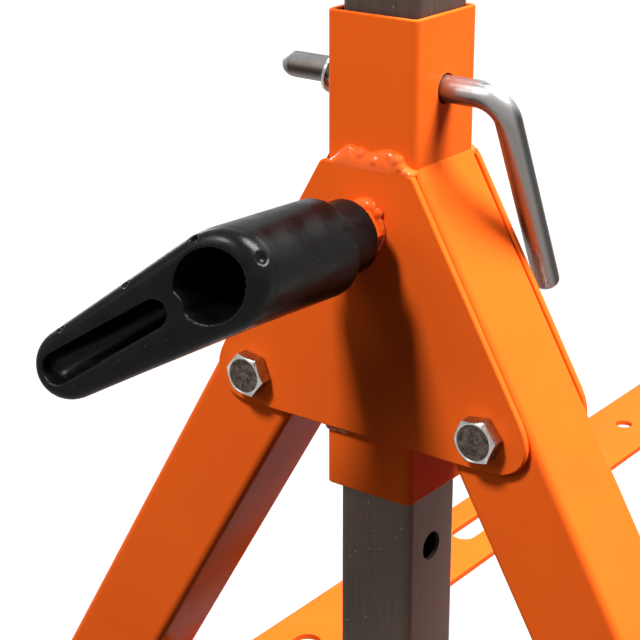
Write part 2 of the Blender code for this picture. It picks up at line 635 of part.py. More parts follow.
def build_lever(end, place):
    """Moulded clamp lever: collar, long hub, leaning arm, front recess and arm pocket."""
    arm = Vector((-math.cos(LEVER_DIP), 0.0, -math.sin(LEVER_DIP)))
    rise = Vector((-math.sin(LEVER_DIP), 0.0, math.cos(LEVER_DIP)))
    axes = Matrix((arm, rise, (0.0, -1.0, 0.0))).transposed().to_4x4()
    axis = Vector((0.0, 0.0, -LEVER_DROP))
    stand = place @ Matrix.Translation(axis) @ axes
    origin = place @ axis
    nose = (-NOSE_RISE * math.sin(LEVER_DIP), NOSE_RISE * math.cos(LEVER_DIP))

    shape = bmesh.new()
    hub_end = HUB_START + HUB_LENGTH
    share = (hub_end - HUB_START) / (FACE_CENTRE - HUB_START)
    loft(shape, [
        circle(COLLAR_RADIUS, CLAMP_FACE),
        circle(COLLAR_RADIUS, HUB_START),
        circle(HUB_RADIUS - HUB_EDGE, HUB_START),
        circle(HUB_RADIUS, HUB_START + HUB_EDGE),
        circle(NOSE_RADIUS - SEAT, hub_end, centre=(nose[0] * share, nose[1] * share)),
    ])
    lever = solid(end + "_lever", shape, BLACK_NYLON, stand, origin)

    def back_out(run):
        reach = ARM_LENGTH + ARM_END_RADIUS
        low = FACE_CENTRE - ARM_DEPTH
        return low + (face_out(reach) - ARM_END_DEPTH - low) * run / reach

    shape = bmesh.new()
    loft(shape, [
        [Vector((r, t, back_out(r))) for r, t in arm_outline(ARM_EDGE)],
        [Vector((r, t, back_out(r) + ARM_EDGE)) for r, t in arm_outline(0.0)],
        [Vector((r, t, face_out(r) - ARM_EDGE)) for r, t in arm_outline(0.0)],
        [Vector((r, t, face_out(r))) for r, t in arm_outline(ARM_EDGE)],
    ])
    combine(lever, shape, "UNION", stand)

    shape = bmesh.new()
    bore = STUD_DIAMETER / 2 + SEAT
    loft(shape, [
        circle(bore, CLAMP_FACE - COLLAR_LENGTH),
        circle(bore, RECESS_FLOOR),
        circle(RECESS_RADIUS, RECESS_FLOOR, centre=nose),
        circle(RECESS_RADIUS, FACE_CENTRE + RECESS_RADIUS, centre=nose),
    ])
    length = POCKET_END - POCKET_START + 2 * POCKET_RADIUS
    pocket = obround(length, 2 * POCKET_RADIUS, ((POCKET_START + POCKET_END) / 2, POCKET_RISE))
    depths = (-POCKET_DEPTH, POCKET_DEPTH)
    loft(shape, [[Vector((r, t, face_out(r) + depth)) for r, t in pocket] for depth in depths])
    combine(lever, shape, "DIFFERENCE", stand)

    tip = POST_SIDE / 2 - POST_ASIDE + SEAT
    stop = RECESS_FLOOR - BORE_END
    radius = STUD_DIAMETER / 2
    bevel = radius / 6
    shape = bmesh.new()
    loft(shape, [
        circle(radius - bevel, tip),
        circle(radius, tip + bevel),
        circle(radius, stop - bevel),
        circle(radius - bevel, stop),
    ])
    solid(end + "_lever_stud", shape, ZINC_STEEL, stand, origin)
    nut = stand @ Matrix.Translation((0.0, 0.0, PLATE_OUTER + SEAT))
    shape = hex_nut(CLAMP_NUT_FLATS, radius + SEAT, CLAMP_NUT_HEIGHT)
    solid(end + "_clamp_nut", shape, ORANGE_COAT, nut, origin)


def main():
    clear_scene()
    for end, place in END_PLACES.items():
        build_sleeve(end, place)
        build_plates(end, place)
        for hand in HAND_PLACES:
            build_leg(end, hand)
            build_pivot_bolt(end, hand)
            build_rail_bolt(end, hand)
        build_post(end, place)
        build_pin(end, place)
        build_lever(end, place)
    for hand in HAND_PLACES:
        build_stretcher(hand)
    build_beam()


main()
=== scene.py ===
import math
import random

import bmesh
import bpy
from mathutils import Matrix, Vector


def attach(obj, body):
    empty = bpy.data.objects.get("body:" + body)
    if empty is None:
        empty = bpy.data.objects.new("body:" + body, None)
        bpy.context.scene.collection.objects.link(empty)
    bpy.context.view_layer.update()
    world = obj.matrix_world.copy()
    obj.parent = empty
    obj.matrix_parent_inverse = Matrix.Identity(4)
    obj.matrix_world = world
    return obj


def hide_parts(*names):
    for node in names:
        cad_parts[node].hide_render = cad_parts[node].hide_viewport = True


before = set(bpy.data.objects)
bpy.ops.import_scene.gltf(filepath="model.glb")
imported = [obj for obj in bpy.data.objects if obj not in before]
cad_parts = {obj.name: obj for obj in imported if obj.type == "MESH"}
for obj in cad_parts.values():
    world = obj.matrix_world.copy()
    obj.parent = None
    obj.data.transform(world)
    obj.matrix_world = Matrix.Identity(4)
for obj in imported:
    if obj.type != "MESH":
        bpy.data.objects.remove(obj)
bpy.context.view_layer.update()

chance = random.Random(7)  # the same weld lumps on every run
mm = 0.001

# Where the two heads stand: drawn about the sleeve axis, zero at the sleeve's top, front towards -Y
halfTurn = Matrix.Rotation(math.pi, 4, "Z")
heads = {
    "front": Matrix.Translation((0, -0.450, 0.540)),
    "rear": Matrix.Translation((0, 0.450, 0.540)) @ halfTurn,
}
touch = 0.3 * mm  # gap left between pieces that touch
beyond = 0.9  # past every part of a head, for saw cuts
upright = (0, 0, 1)
flat = 0.9  # a face whose normal passes this share of an axis faces along it
straight = 0.999  # an edge whose run passes this share of an axis lies along it


# hand tools
def deselectAll():
    active = bpy.context.view_layer.objects.active
    if active and active.mode != "OBJECT":
        bpy.ops.object.mode_set(mode="OBJECT")
    bpy.ops.object.select_all(action="DESELECT")


def takeUp(piece):
    deselectAll()
    piece.select_set(True)
    bpy.context.view_layer.objects.active = piece


def settle(name):  # name the new primitive and put its place into its mesh
    piece = bpy.context.view_layer.objects.active
    piece.name = name
    takeUp(piece)
    bpy.ops.object.transform_apply(location=True, rotation=True, scale=True)
    return piece


def pick(piece, kind, test=lambda part: True):  # edit mode, with only what passes the test selected
    takeUp(piece)
    bpy.ops.object.mode_set(mode="EDIT")
    bpy.ops.mesh.select_mode(type=kind)
    bpy.ops.mesh.select_all(action="DESELECT")
    shape = bmesh.from_edit_mesh(piece.data)
    parts = {"VERT": shape.verts, "EDGE": shape.edges, "FACE": shape.faces}[kind]
    for part in parts:
        if test(part):
            part.select_set(True)
    bmesh.update_edit_mesh(piece.data)


def putDown():
    bpy.ops.object.mode_set(mode="OBJECT")


def middle(edge):
    return (edge.verts[0].co + edge.verts[1].co) / 2


def finishWith(piece, kind, **settings):
    takeUp(piece)
    step = piece.modifiers.new(kind.lower(), kind)
    for name, value in settings.items():
        setattr(step, name, value)
    bpy.ops.object.modifier_apply(modifier=step.name)


def cut(piece, tool, operation="DIFFERENCE"):
    finishWith(piece, "BOOLEAN", operation=operation, solver="EXACT", object=tool)
    bpy.data.objects.remove(tool, do_unlink=True)


def joinUp(pieces):
    takeUp(pieces[0])
    for piece in pieces[1:]:
        piece.select_set(True)
    bpy.ops.object.join()
    return pieces[0]


def moveMesh(piece, place):
    piece.data.transform(place)
    piece.data.update()
    return piece


def closeSeams(piece):  # merge doubles and turn the faces outwards
    pick(piece, "FACE")
    bpy.ops.mesh.remove_doubles(threshold=0.01 * mm)
    bpy.ops.mesh.normals_make_consistent(inside=False)
    putDown()


def block(name, low, high):
    low, high = Vector(low), Vector(high)
    deselectAll()
    bpy.ops.mesh.primitive_cube_add(size=1, location=(low + high) / 2)
    bpy.context.object.scale = high - low
    return settle(name)


def bar(name, radius, start, end, sides=40, endRadius=None):
    start, end = Vector(start), Vector(end)
    turn = Vector(upright).rotation_difference(end - start).to_euler()
    deselectAll()
    bpy.ops.mesh.primitive_cone_add(
        vertices=sides, radius1=radius, radius2=radius if endRadius is None else endRadius,
        depth=(end - start).length, location=(start + end) / 2, rotation=turn)
    return settle(name)


def ball(name, radius, centre):
    deselectAll()
    bpy.ops.mesh.primitive_uv_sphere_add(segments=24, ring_count=16, radius=radius, location=centre)
    return settle(name)


def sawBelow(piece, level):  # cut off all that is below a level, on the right-hand side
    cut(piece, block("saw", (0, -beyond, -beyond), (beyond, beyond, level)))


def roundCorners(piece, axis, radius, steps, test=lambda edge: True):  # bevel edges that lie along an axis
    def runsAlong(edge):
        run = (edge.verts[1].co - edge.verts[0].co).normalized()
        return abs(run.dot(Vector(axis))) > straight

    pick(piece, "EDGE", lambda edge: runsAlong(edge) and test(edge))
    bpy.ops.mesh.bevel(offset=radius, segments=steps, affect="EDGES", clamp_overlap=False)
    putDown()


def softRims(piece, width, steps=2, angle=40):
    finishWith(piece, "BEVEL", width=width, segments=steps, limit_method="ANGLE",
               angle_limit=math.radians(angle), use_clamp_overlap=True)


def melt(piece, voxel, rounds):  # run the parts of a piece into one rounded skin
    finishWith(piece, "REMESH", mode="VOXEL", voxel_size=voxel, use_smooth_shade=True)
    finishWith(piece, "SMOOTH", factor=0.5, iterations=rounds)


def smooth(piece, angle=38, weighted=True):
    takeUp(piece)
    bpy.ops.object.shade_smooth_by_angle(angle=math.radians(angle))
    if weighted:
        finishWith(piece, "WEIGHTED_NORMAL", keep_sharp=True, weight=60)


def squareTube(name, width, depth, wall, corner, low, high):  # open tube along Z
    tube = block(name, (-width / 2, -depth / 2, low), (width / 2, depth / 2, high))
    roundCorners(tube, upright, corner, 6)
    pick(tube, "FACE", lambda face: abs(face.normal.z) > flat)
    bpy.ops.mesh.delete(type="ONLY_FACE")
    putDown()
    finishWith(tube, "SOLIDIFY", thickness=wall, offset=-1, use_even_offset=True)
    return tube


def standOn(axis, point):  # what stands on Z = 0 is turned to stand on a point along an axis
    turn = Vector(upright).rotation_difference(Vector(axis)).to_matrix().to_4x4()
    return Matrix.Translation(point) @ turn


def setOut(master, places, slotName, *finishes):  # copies of one master, each with its own mesh
    for name, place, body, nodes in places:
        mesh = master.data.copy()
        mesh.name = name
        piece = bpy.data.objects.new(name, mesh)
        bpy.context.scene.collection.objects.link(piece)
        moveMesh(piece, place)
        for finish in finishes:
            mesh.materials.append(finish)
        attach(piece, body)
        if nodes:
            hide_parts(*nodes)
    bpy.data.objects.remove(master, do_unlink=True)


def eachHead(label, body, *nodes):  # one piece for each head; {} stands for front or rear
    return [(head + label, place, body.format(head), [node.format(head) for node in nodes])
            for head, place in heads.items()]


def eachSide(sides):  # the sides of each head, left and right named for the whole object
    for head, place in heads.items():
        for side in sides:
            yield head, place, side, "right" if (side > 0) == (head == "front") else "left"


def eachLeg(label, *nodes):  # the legs are drawn on the right; the left ones are turned half round
    return [(head + hand.title() + label, place @ (Matrix() if side > 0 else halfTurn), hand + "_legs",
             [node.format(head, hand) for node in nodes]) for head, place, side, hand in eachSide((1, -1))]


# finishes
def hexColour(code):  # sRGB hex to linear
    parts = [int(code[index:index + 2], 16) / 255 for index in (0, 2, 4)]
    return tuple(p / 12.92 if p <= 0.04045 else ((p + 0.055) / 1.055) ** 2.4 for p in parts) + (1.0,)


def linkUp(tree, node, links):  # a node given as a source stands for its first output
    for name, source in links.items():
        tree.links.new(getattr(source, "outputs", [source])[0], node.inputs[name])


def addNode(tree, kind, settings, links=None):
    node = tree.nodes.new("ShaderNode" + kind)
    for name, value in settings.items():
        if name == "stops":
            ramp = node.color_ramp.elements
            while len(ramp) < len(value):
                ramp.new(0.5)
            for stop, (place, colour) in zip(ramp, value):
                stop.position, stop.color = place, hexColour(colour)
        elif isinstance(name, int) or name in node.inputs:
            node.inputs[name].default_value = value
        else:
            setattr(node, name, value)
    linkUp(tree, node, links or {})
    return node


def emptyTree(owner):
    owner.use_nodes = True
    owner.node_tree.nodes.clear()
    return owner.node_tree


def startFinish(name, look, *patterns):  # a shader, Object coordinates and the look's noise patterns
    finish = bpy.data.materials.new(name)
    tree = emptyTree(finish)
    shader = addNode(tree, "BsdfPrincipled", look["shader"])
    addNode(tree, "OutputMaterial", {}, {"Surface": shader})
    place = addNode(tree, "TexCoord", {}).outputs["Object"]
    noises = [addNode(tree, "TexNoise", look[pattern], {"Vector": place}) for pattern in patterns]
    return finish, tree, shader, place, noises


def layOn(tree, shader, look, colour, wear, grain):  # colour, gloss that follows wear, relief from grain
    gloss = addNode(tree, "MapRange", look["gloss"], {"Value": wear})
    bump = addNode(tree, "Bump", look["relief"], {"Height": grain})
    linkUp(tree, shader, {"Base Color": colour, "Roughness": gloss, "Normal": bump})


def speckle(tree, place, look, under):  # a small pale speck in a few cells of a fine pattern
    dots = addNode(tree, "TexVoronoi", look["dots"], {"Vector": place})
    sparse = addNode(tree, "Math", {"operation": "GREATER_THAN", 1: look["dotsBare"]},
                     {0: dots.outputs["Color"]})
    near = addNode(tree, "MapRange", look["dotEdge"], {"Value": dots})
    speck = addNode(tree, "Math", {"operation": "MULTIPLY"}, {0: sparse, 1: near})
    return addNode(tree, "Mix", look["speck"], {0: speck, 6: under}).outputs[2]


def patternedFinish(look):  # tone, gloss and relief each follow one of the look's noise patterns
    finish, tree, shader, place, (cloud, wear, grain) = startFinish(look["name"], look, *look["follows"])
    tone = addNode(tree, "ValToRGB", {"stops": look["tones"]}, {"Fac": cloud})
    if "dots" in look:
        tone = speckle(tree, place, look, tone)
    layOn(tree, shader, look, tone, wear, grain)
    return finish


def perMetre(size):  # noise scale for features of about this size
    return 1.0 / size


# Powder-coated steel, sprayed and baked: saturated satin orange, faint orange peel, slow drift in shade
coatLook = {
    "name": "powderCoatOrange", "tones": [(0, "DD5719"), (1, "E8611D")],
    "follows": ("cloud", "scuff", "peel"), "shader": {"IOR": 1.05},  # low, because flats mirror very little
    "cloud": {"Scale": perMetre(45 * mm), "Detail": 3.0},
    "scuff": {"Scale": perMetre(5 * mm), "Detail": 6.0, "Roughness": 0.7},
    "peel": {"Scale": perMetre(1.6 * mm), "Detail": 1.5},
    "gloss": {"From Min": 0.35, "From Max": 0.7, "To Min": 0.14, "To Max": 0.25},
    "relief": {"Strength": 0.35, "Distance": 0.05 * mm},
}
# The same coat run thick over the welds: wetter, with sharper glints on the lumps
weldCoatLook = {
    **coatLook, "name": "powderCoatOverWeld", "shader": {"IOR": 1.24},
    "gloss": {"From Min": 0.35, "From Max": 0.7, "To Min": 0.04, "To Max": 0.08},
}

# Bare drawn steel tube, oiled: dull brown-grey, drawn streaks along the tube and tiny bright specks
steelLook = {
    "tones": [(0.28, "3E342D"), (0.52, "463B34"), (0.78, "50453D")],
    "rust": {"data_type": "RGBA", 7: hexColour("523D30")},
    "speck": {"data_type": "RGBA", 7: hexColour("B9B3AB")},
    "shader": {"Metallic": 0.4, "Specular IOR Level": 0.2},  # the oil film hides part of the metal
    "streak": {"Scale": perMetre(1.1 * mm), "Detail": 4.0, "Roughness": 0.65}, "stretch": 0.05,
    "patch": {"Scale": perMetre(9 * mm), "Detail": 5.0, "Roughness": 0.6},
    "stain": {"From Min": 0.45, "From Max": 0.75, "To Min": 0.0, "To Max": 0.6},
    "dots": {"Scale": perMetre(0.9 * mm)}, "dotsBare": 0.93,  # coarser than real specks, so that they show
    "dotEdge": {"From Min": 0.12, "From Max": 0.32, "To Min": 1.0, "To Max": 0.0},
    "gloss": {"To Min": 0.42, "To Max": 0.60}, "relief": {"Strength": 0.3, "Distance": 0.05 * mm},
}


def drawnSteel(name, grain):  # grain is the axis the tube was drawn along
    look = steelLook
    finish, tree, shader, place, (patch,) = startFinish(name, look, "patch")
    squeeze = [look["stretch"] if axis == grain else 1.0 for axis in "XYZ"]
    along = addNode(tree, "Mapping", {"Scale": squeeze}, {"Vector": place})
    streak = addNode(tree, "TexNoise", look["streak"], {"Vector": along})
    tone = addNode(tree, "ValToRGB", {"stops": look["tones"]}, {"Fac": streak})
    stain = addNode(tree, "MapRange", look["stain"], {"Value": patch})
    brown = addNode(tree, "Mix", look["rust"], {0: stain, 6: tone})
    layOn(tree, shader, look, speckle(tree, place, look, brown.outputs[2]), patch, streak)
    return finish


# Bright zinc plate on forged steel: cool grey, clear reflections broken by a fine forged skin
zincLook = {
    "name": "zincPlatedSteel", "tones": [(0.3, "8E8C88"), (0.7, "B4B2AE")],
    "follows": ("patch", "skin", "skin"), "shader": {"Metallic": 1.0},
    "patch": {"Scale": perMetre(6 * mm), "Detail": 5.0, "Roughness": 0.65},
    "skin": {"Scale": perMetre(0.8 * mm), "Detail": 3.0},
    "gloss": {"From Min": 0.3, "From Max": 0.7, "To Min": 0.18, "To Max": 0.30},
    "relief": {"Strength": 0.35, "Distance": 0.04 * mm},
}
# The same plate on a struck face, painted dark brown-grey as a painted reflection of dark surroundings, with
# paler spots at random
struckLook = {
    **zincLook, "name": "zincStruckFacePaintedDark", "tones": [(0.3, "1A1411"), (0.7, "5E544B")],
    "patch": {"Scale": perMetre(1.8 * mm), "Detail": 5.0, "Roughness": 0.65},
    "skin": {"Scale": perMetre(1.1 * mm), "Detail": 3.0},
    "gloss": {"From Min": 0.3, "From Max": 0.7, "To Min": 0.34, "To Max": 0.52},
    "relief": {"Strength": 0.35, "Distance": 0.12 * mm},
}

# Zinc-plated bar: bright soft grey, with painted reflections that are browner low on the bar and dark along
# its outer side
rodLook = {
    "reflectionBands": [(0.03, "A3A2A0"), (0.20, "807C79"), (0.36, "72706D"), (0.52, "8C8A88"), (0.70, "9E9C9A"),
              (0.90, "AEAEAD")],
    "tipReflectionBands": [(0.05, "8A8886"), (0.17, "7A7775"), (0.30, "4A423E"), (0.43, "2B2320"), (0.54, "453B36"),
                 (0.66, "756B64"), (0.83, "817F7D"), (0.95, "909393")],  # painted reflection bands, on the side away from the handle
    "round": {"From Min": 0.12, "From Max": 0.36},  # tip bands go only where the bar runs across
    "tipFade": 8 * mm * 0.45,  # they fade out within 8 mm of the sleeve's axis, 0.45 m from the middle
    # painted dark reflection where the surface faces out along the bar's outer side
    "grip": {"data_type": "RGBA", 7: hexColour("2E2C2B")},
    "gripped": {"From Min": 0.86, "From Max": 0.985, "To Max": 0.85},
    "shader": {"Metallic": 0.9, "Specular Tint": hexColour("BEBEBE")},
    "skin": {"Scale": perMetre(0.9 * mm), "Detail": 4.0, "Roughness": 0.6}, "wander": 0.06,
    "cloud": {"Scale": perMetre(7 * mm), "Detail": 3.0},
    "gloss": {"From Min": 0.3, "From Max": 0.7, "To Min": 0.24, "To Max": 0.36},
    "relief": {"Strength": 0.35, "Distance": 0.03 * mm},
}


# light and dark bands set by the way the surface faces: painted reflections, not the bar's own colour
def reflectionBandedRod():
    look = rodLook
    finish, tree, shader, place, (skin, cloud) = startFinish("zincBarPaintedReflection", look, "skin", "cloud")
    facing = addNode(tree, "TexCoord", {}).outputs["Normal"]
    part = addNode(tree, "SeparateXYZ", {}, {"Vector": facing})
    around = addNode(tree, "MapRange", {"From Min": -1.0, "From Max": 1.0},
                     {"Value": part.outputs["Z"]})
    drift = addNode(tree, "Math",
                    {"operation": "MULTIPLY_ADD", 1: look["wander"], 2: -look["wander"] / 2}, {0: skin})
    band = addNode(tree, "Math", {"operation": "ADD"}, {0: around, 1: drift})
    tone, tip = [addNode(tree, "ValToRGB", {"stops": look[name]}, {"Fac": band})
                 for name in ("reflectionBands", "tipReflectionBands")]
    outer = addNode(tree, "Math", {"operation": "ABSOLUTE"}, {0: part.outputs["X"]})
    across = addNode(tree, "MapRange", look["round"], {"Value": outer})
    spot = addNode(tree, "SeparateXYZ", {}, {"Vector": place})
    side = addNode(tree, "Math", {"operation": "MULTIPLY"},
                   {0: spot.outputs["X"], 1: spot.outputs["Y"]})  # above zero on the tip side of both pins
    handleSideMask = addNode(tree, "MapRange",
                      {"From Min": look["tipFade"], "From Max": -look["tipFade"]}, {"Value": side})
    plain = addNode(tree, "Math", {"operation": "MAXIMUM"}, {0: across, 1: handleSideMask})
    shade = addNode(tree, "Mix", {"data_type": "RGBA"}, {0: plain, 6: tip, 7: tone})
    # painted dark reflection along the bar's outer side, by the surface's facing
    gripped = addNode(tree, "MapRange", look["gripped"], {"Value": outer})
    withDarkReflection = addNode(tree, "Mix", look["grip"], {0: gripped, 6: shade.outputs[2]})
    layOn(tree, shader, look, withDarkReflection.outputs[2], cloud, skin)
    return finish


# Glass-filled nylon, injection moulded: near-black satin with a pebbled skin and faint pale fibre specks
nylonLook = {
    "name": "mouldedNylonBlack", "tones": [(0, "040303"), (1, "0A0909")],
    "follows": ("haze", "haze", "pebble"), "shader": {"IOR": 1.20},
    "speck": {"data_type": "RGBA", 7: hexColour("4A4A4E")},
    "haze": {"Scale": perMetre(9 * mm), "Detail": 4.0},
    "pebble": {"Scale": perMetre(0.7 * mm), "Detail": 2.0},  # both coarser than real, so that they show
    "dots": {"Scale": perMetre(0.9 * mm)}, "dotsBare": 0.93,
    "dotEdge": {"From Min": 0.10, "From Max": 0.30, "To Min": 1.0, "To Max": 0.0},
    "gloss": {"From Min": 0.35, "From Max": 0.65, "To Min": 0.24, "To Max": 0.40},
    "relief": {"Strength": 0.4, "Distance": 0.10 * mm},
}

# Moulded rubber: matt warm grey with a dusty bloom and a fine pimpled skin
rubberLook = {
    "name": "mouldedRubberGrey", "tones": [(0.3, "4B4744"), (0.75, "77716B")],
    "follows": ("bloom", "bloom", "pimple"), "shader": {"Specular IOR Level": 0.3},
    "bloom": {"Scale": perMetre(11 * mm), "Detail": 6.0, "Roughness": 0.65},
    "pimple": {"Scale": perMetre(0.8 * mm), "Detail": 2.0},  # coarser than the real skin, so that it shows
    "gloss": {"To Min": 0.62, "To Max": 0.86}, "relief": {"Strength": 0.5, "Distance": 0.10 * mm},
}

coat, weldCoat = patternedFinish(coatLook), patternedFinish(weldCoatLook)
postSteel, beamSteel = drawnSteel("drawnSteelUpright", "Z"), drawnSteel("drawnSteelLengthwise", "Y")
zinc, struckFace, rodZinc = patternedFinish(zincLook), patternedFinish(struckLook), reflectionBandedRod()
nylon, rubber = patternedFinish(nylonLook), patternedFinish(rubberLook)
print("finishes ready")

# sleeve
sleeveSize = {"side": 40 * mm, "wall": 2 * mm, "length": 190 * mm, "corner": 2.7 * mm, "lip": 0.75 * mm,
              "pinDrop": 28 * mm, "pinHole": 5.9 * mm, "studDrop": 79.5 * mm, "studHole": 5.4 * mm}


def makeSleeve():
    size = sleeveSize
    side, level, down = size["side"], -size["pinDrop"], -size["studDrop"]
    tube = squareTube("sleeve", side, side, size["wall"], size["corner"], -size["length"], 0)
    softRims(tube, size["lip"], 3)
    cut(tube, bar("drill", size["pinHole"], (-side, 0, level), (side, 0, level)))
    cut(tube, bar("drill", size["studHole"], (0, 0, down), (0, -side, down)))
    smooth(tube)
    setOut(tube, eachHead("Sleeve", "frame", "{}_sleeve"), "orange_coat", coat)


makeSleeve()

# telescopic post
postSize = {"side": 34 * mm, "wall": 2 * mm, "corner": 3.6 * mm, "low": -370.5 * mm, "high": 109.7 * mm,
            "aside": 0.7 * mm, "hole": 5.9 * mm, "firstHole": 34.5 * mm, "pitch": 62.5 * mm, "holes": 7,
            "rim": 0.35 * mm}


def makePost():
    size = postSize
    side = size["side"]
    tube = squareTube("post", side, side, size["wall"], size["corner"], size["low"], size["high"])
    moveMesh(tube, Matrix.Translation((size["aside"], size["aside"], 0)))
    for index in range(size["holes"]):
        height = size["firstHole"] - index * size["pitch"]
        cut(tube, bar("drill", size["hole"], (-side, 0, height), (side, 0, height)))
    softRims(tube, size["rim"])
    smooth(tube)
    setOut(tube, eachHead("Post", "upper", "{}_post"), "bare_steel", postSteel)


makePost()

# top beam and the caps in its ends
beamSize = {"width": 50 * mm, "height": 40 * mm, "wall": 2 * mm, "corner": 3 * mm, "length": 1.040,
            "middle": 670 * mm, "rim": 0.35 * mm}
capSize = {"flange": 3 * mm, "edge": 5 * mm, "dish": 0.8 * mm, "rim": 0.6 * mm, "plug": 12 * mm,
           "plugCorner": 1.2 * mm, "plugWall": 2.5 * mm, "plugFloor": 1.5 * mm, "plugLap": 0.5 * mm}


def makeBeam():
    size = beamSize
    half = size["length"] / 2
    tube = squareTube("beam", size["width"], size["height"], size["wall"], size["corner"], -half, half)
    softRims(tube, size["rim"])
    smooth(tube)
    lie = Matrix.Translation((0, 0, size["middle"])) @ Matrix.Rotation(math.pi / 2, 4, "X")
    setOut(tube, [("topBeam", lie, "upper", ["top_beam"])], "bare_steel", beamSteel)


def makeBeamCap():
    size = capSize
    x, y = beamSize["width"] / 2, beamSize["height"] / 2
    cap = block("cap", (-x, -y, touch), (x, y, touch + size["flange"]))
    roundCorners(cap, upright, beamSize["corner"], 5)
    pick(cap, "FACE", lambda face: face.normal.z > flat)  # rolled edge and a shallow dish in the cap's face
    bpy.ops.mesh.inset(thickness=size["edge"])
    bpy.ops.transform.translate(value=(0, 0, -size["dish"]))
    putDown()
    inset = beamSize["wall"] + touch
    x, y = x - inset, y - inset
    plug = block("plug", (-x, -y, -size["plug"]), (x, y, touch + size["plugLap"]))
    roundCorners(plug, upright, size["plugCorner"], 3)
    pick(plug, "FACE", lambda face: face.normal.z < -flat)  # hollow plug
    bpy.ops.mesh.inset(thickness=size["plugWall"])
    hollow = (0, 0, size["plug"] - size["plugFloor"])
    bpy.ops.mesh.extrude_region_move(TRANSFORM_OT_translate={"value": hollow})
    putDown()
    cut(cap, plug, "UNION")
    softRims(cap, size["rim"], 3)
    smooth(cap)
    rows = []
    for head, sign in (("front", -1), ("rear", 1)):
        seat = Matrix.Translation((0, sign * beamSize["length"] / 2, beamSize["middle"]))
        turn = Matrix.Rotation(-sign * math.pi / 2, 4, "X")
        rows.append((head + "BeamCap", seat @ turn, "upper", [head + "_beam_cap"]))
    setOut(cap, rows, "black_nylon", nylon)


makeBeam()
makeBeamCap()
print("sleeves, posts and beam ready")

# gusset plates
plateSize = {"top": -55.8 * mm, "bottom": -163.9 * mm, "topHalf": 20.40 * mm, "bottomHalf": 82.81 * mm,
             "inside": 20.3 * mm, "sheet": 3 * mm, "corner": 26.8 * mm, "topCorner": 1.6 * mm,
             "rim": 0.85 * mm, "pivotOut": 54 * mm, "pivotDrop": 149.6 * mm, "boltHole": 5.4 * mm,
             "studHole": 5.4 * mm}
pivot = Vector((plateSize["pivotOut"], 0, -plateSize["pivotDrop"]))


def makePlate(name, near, far, stud):
    size = plateSize
    low, high, half = size["bottom"], size["top"], size["bottomHalf"]
    plate = block(name, (-half, near, low), (half, far, high))
    pick(plate, "VERT", lambda vert: vert.co.z > high - mm)
    bpy.ops.transform.resize(value=(size["topHalf"] / half, 1, 1), center_override=(0, 0, high))
    putDown()
    roundCorners(plate, (0, 1, 0), size["corner"], 10, lambda edge: middle(edge).z < low + mm)
    roundCorners(plate, (0, 1, 0), size["topCorner"], 3, lambda edge: middle(edge).z > high - mm)
    softRims(plate, size["rim"], 3, 60)
    holes = [(side * pivot.x, pivot.z, size["boltHole"]) for side in (-1, 1)]
    if stud:
        holes.append((0, -sleeveSize["studDrop"], size["studHole"]))
    for x, z, radius in holes:
        cut(plate, bar("drill", radius, (x, near - mm, z), (x, far + mm, z), 24))
    smooth(plate, 30)
    return plate


near, far = plateSize["inside"], plateSize["inside"] + plateSize["sheet"]
setOut(makePlate("outerPlate", -far, -near, True),
       eachHead("OuterPlate", "frame", "{}_outer_plate"), "orange_coat", coat)
setOut(makePlate("innerPlate", near, far, False),
       eachHead("InnerPlate", "frame", "{}_inner_plate"), "orange_coat", coat)

# legs, drawn for the right-hand one, with the line of the stretcher that is bolted to them
legSize = {"side": 40 * mm, "wall": 2 * mm, "corner": 3.6 * mm, "angle": math.radians(30), "offset": 1.5 * mm,
           "up": 120 * mm, "down": 520 * mm, "mitre": 20.3 * mm, "foot": -531.7 * mm, "rim": 0.45 * mm,
           "boltHole": 5.4 * mm, "railHole": 4.4 * mm, "drillIn": 8 * mm, "drillOut": 60 * mm}
railSize = {"drop": 210.4 * mm, "width": 50 * mm, "sheet": 3 * mm, "web": 24 * mm, "bend": 3.6 * mm,
            "length": 940 * mm, "endWidth": 22 * mm, "endStart": 425.3 * mm, "endCorner": 3 * mm,
            "slot": 14 * mm, "midSlot": (133 * mm, 135.5 * mm), "endSlot": (72 * mm, 374 * mm),
            "hole": 5.5 * mm, "holes": (-270 * mm, 0, 270 * mm), "boltDrop": 13 * mm, "boltHole": 4.4 * mm,
            "drill": 9 * mm, "rim": 0.6 * mm}
legAlong = Vector((math.sin(legSize["angle"]), 0, -math.cos(legSize["angle"])))
legAcross = Vector((math.cos(legSize["angle"]), 0, math.sin(legSize["angle"])))
legPlace = (Matrix.Translation(pivot - legAcross * legSize["offset"])
            @ Matrix.Rotation(-legSize["angle"], 4, "Y"))
legInner = -legSize["side"] / 2 - legSize["offset"]
railCorner = Vector((pivot.x + (legInner - touch + railSize["drop"] * legAcross.z) / legAcross.x, 0,
                     pivot.z - railSize["drop"]))
railBolt = railCorner + legAlong * railSize["boltDrop"]


def makeLeg():
    size = legSize
    side = size["side"]
    tube = squareTube("leg", side, side, size["wall"], size["corner"], -size["down"], size["up"])
    moveMesh(tube, legPlace)
    cut(tube, block("saw", (-beyond, -beyond, -beyond), (size["mitre"], beyond, beyond)))
    sawBelow(tube, size["foot"])
    softRims(tube, size["rim"], angle=50)
    reach = Vector((0, side, 0))
    cut(tube, bar("drill", size["boltHole"], pivot - reach, pivot + reach, 24))
    low, high = railBolt - legAcross * size["drillIn"], railBolt + legAcross * size["drillOut"]
    cut(tube, bar("drill", size["railHole"], low, high, 24))
    smooth(tube, 30)
    setOut(tube, eachLeg("Leg", "{}_{}_leg"), "orange_coat", coat)


makeLeg()

# foot caps
footSize = {"wall": 3 * mm, "corner": 6.6 * mm, "top": -400.8 * mm, "base": -540 * mm, "floor": -532 * mm,
            "band": 4.5 * mm, "bandOut": 0.9 * mm, "tread": 2.6 * mm, "treadDepth": 1.8 * mm, "treads": 5,
            "treadPitch": 8.84 * mm, "rim": 0.5 * mm, "blank": -500 * mm, "socket": (-600 * mm, -300 * mm)}


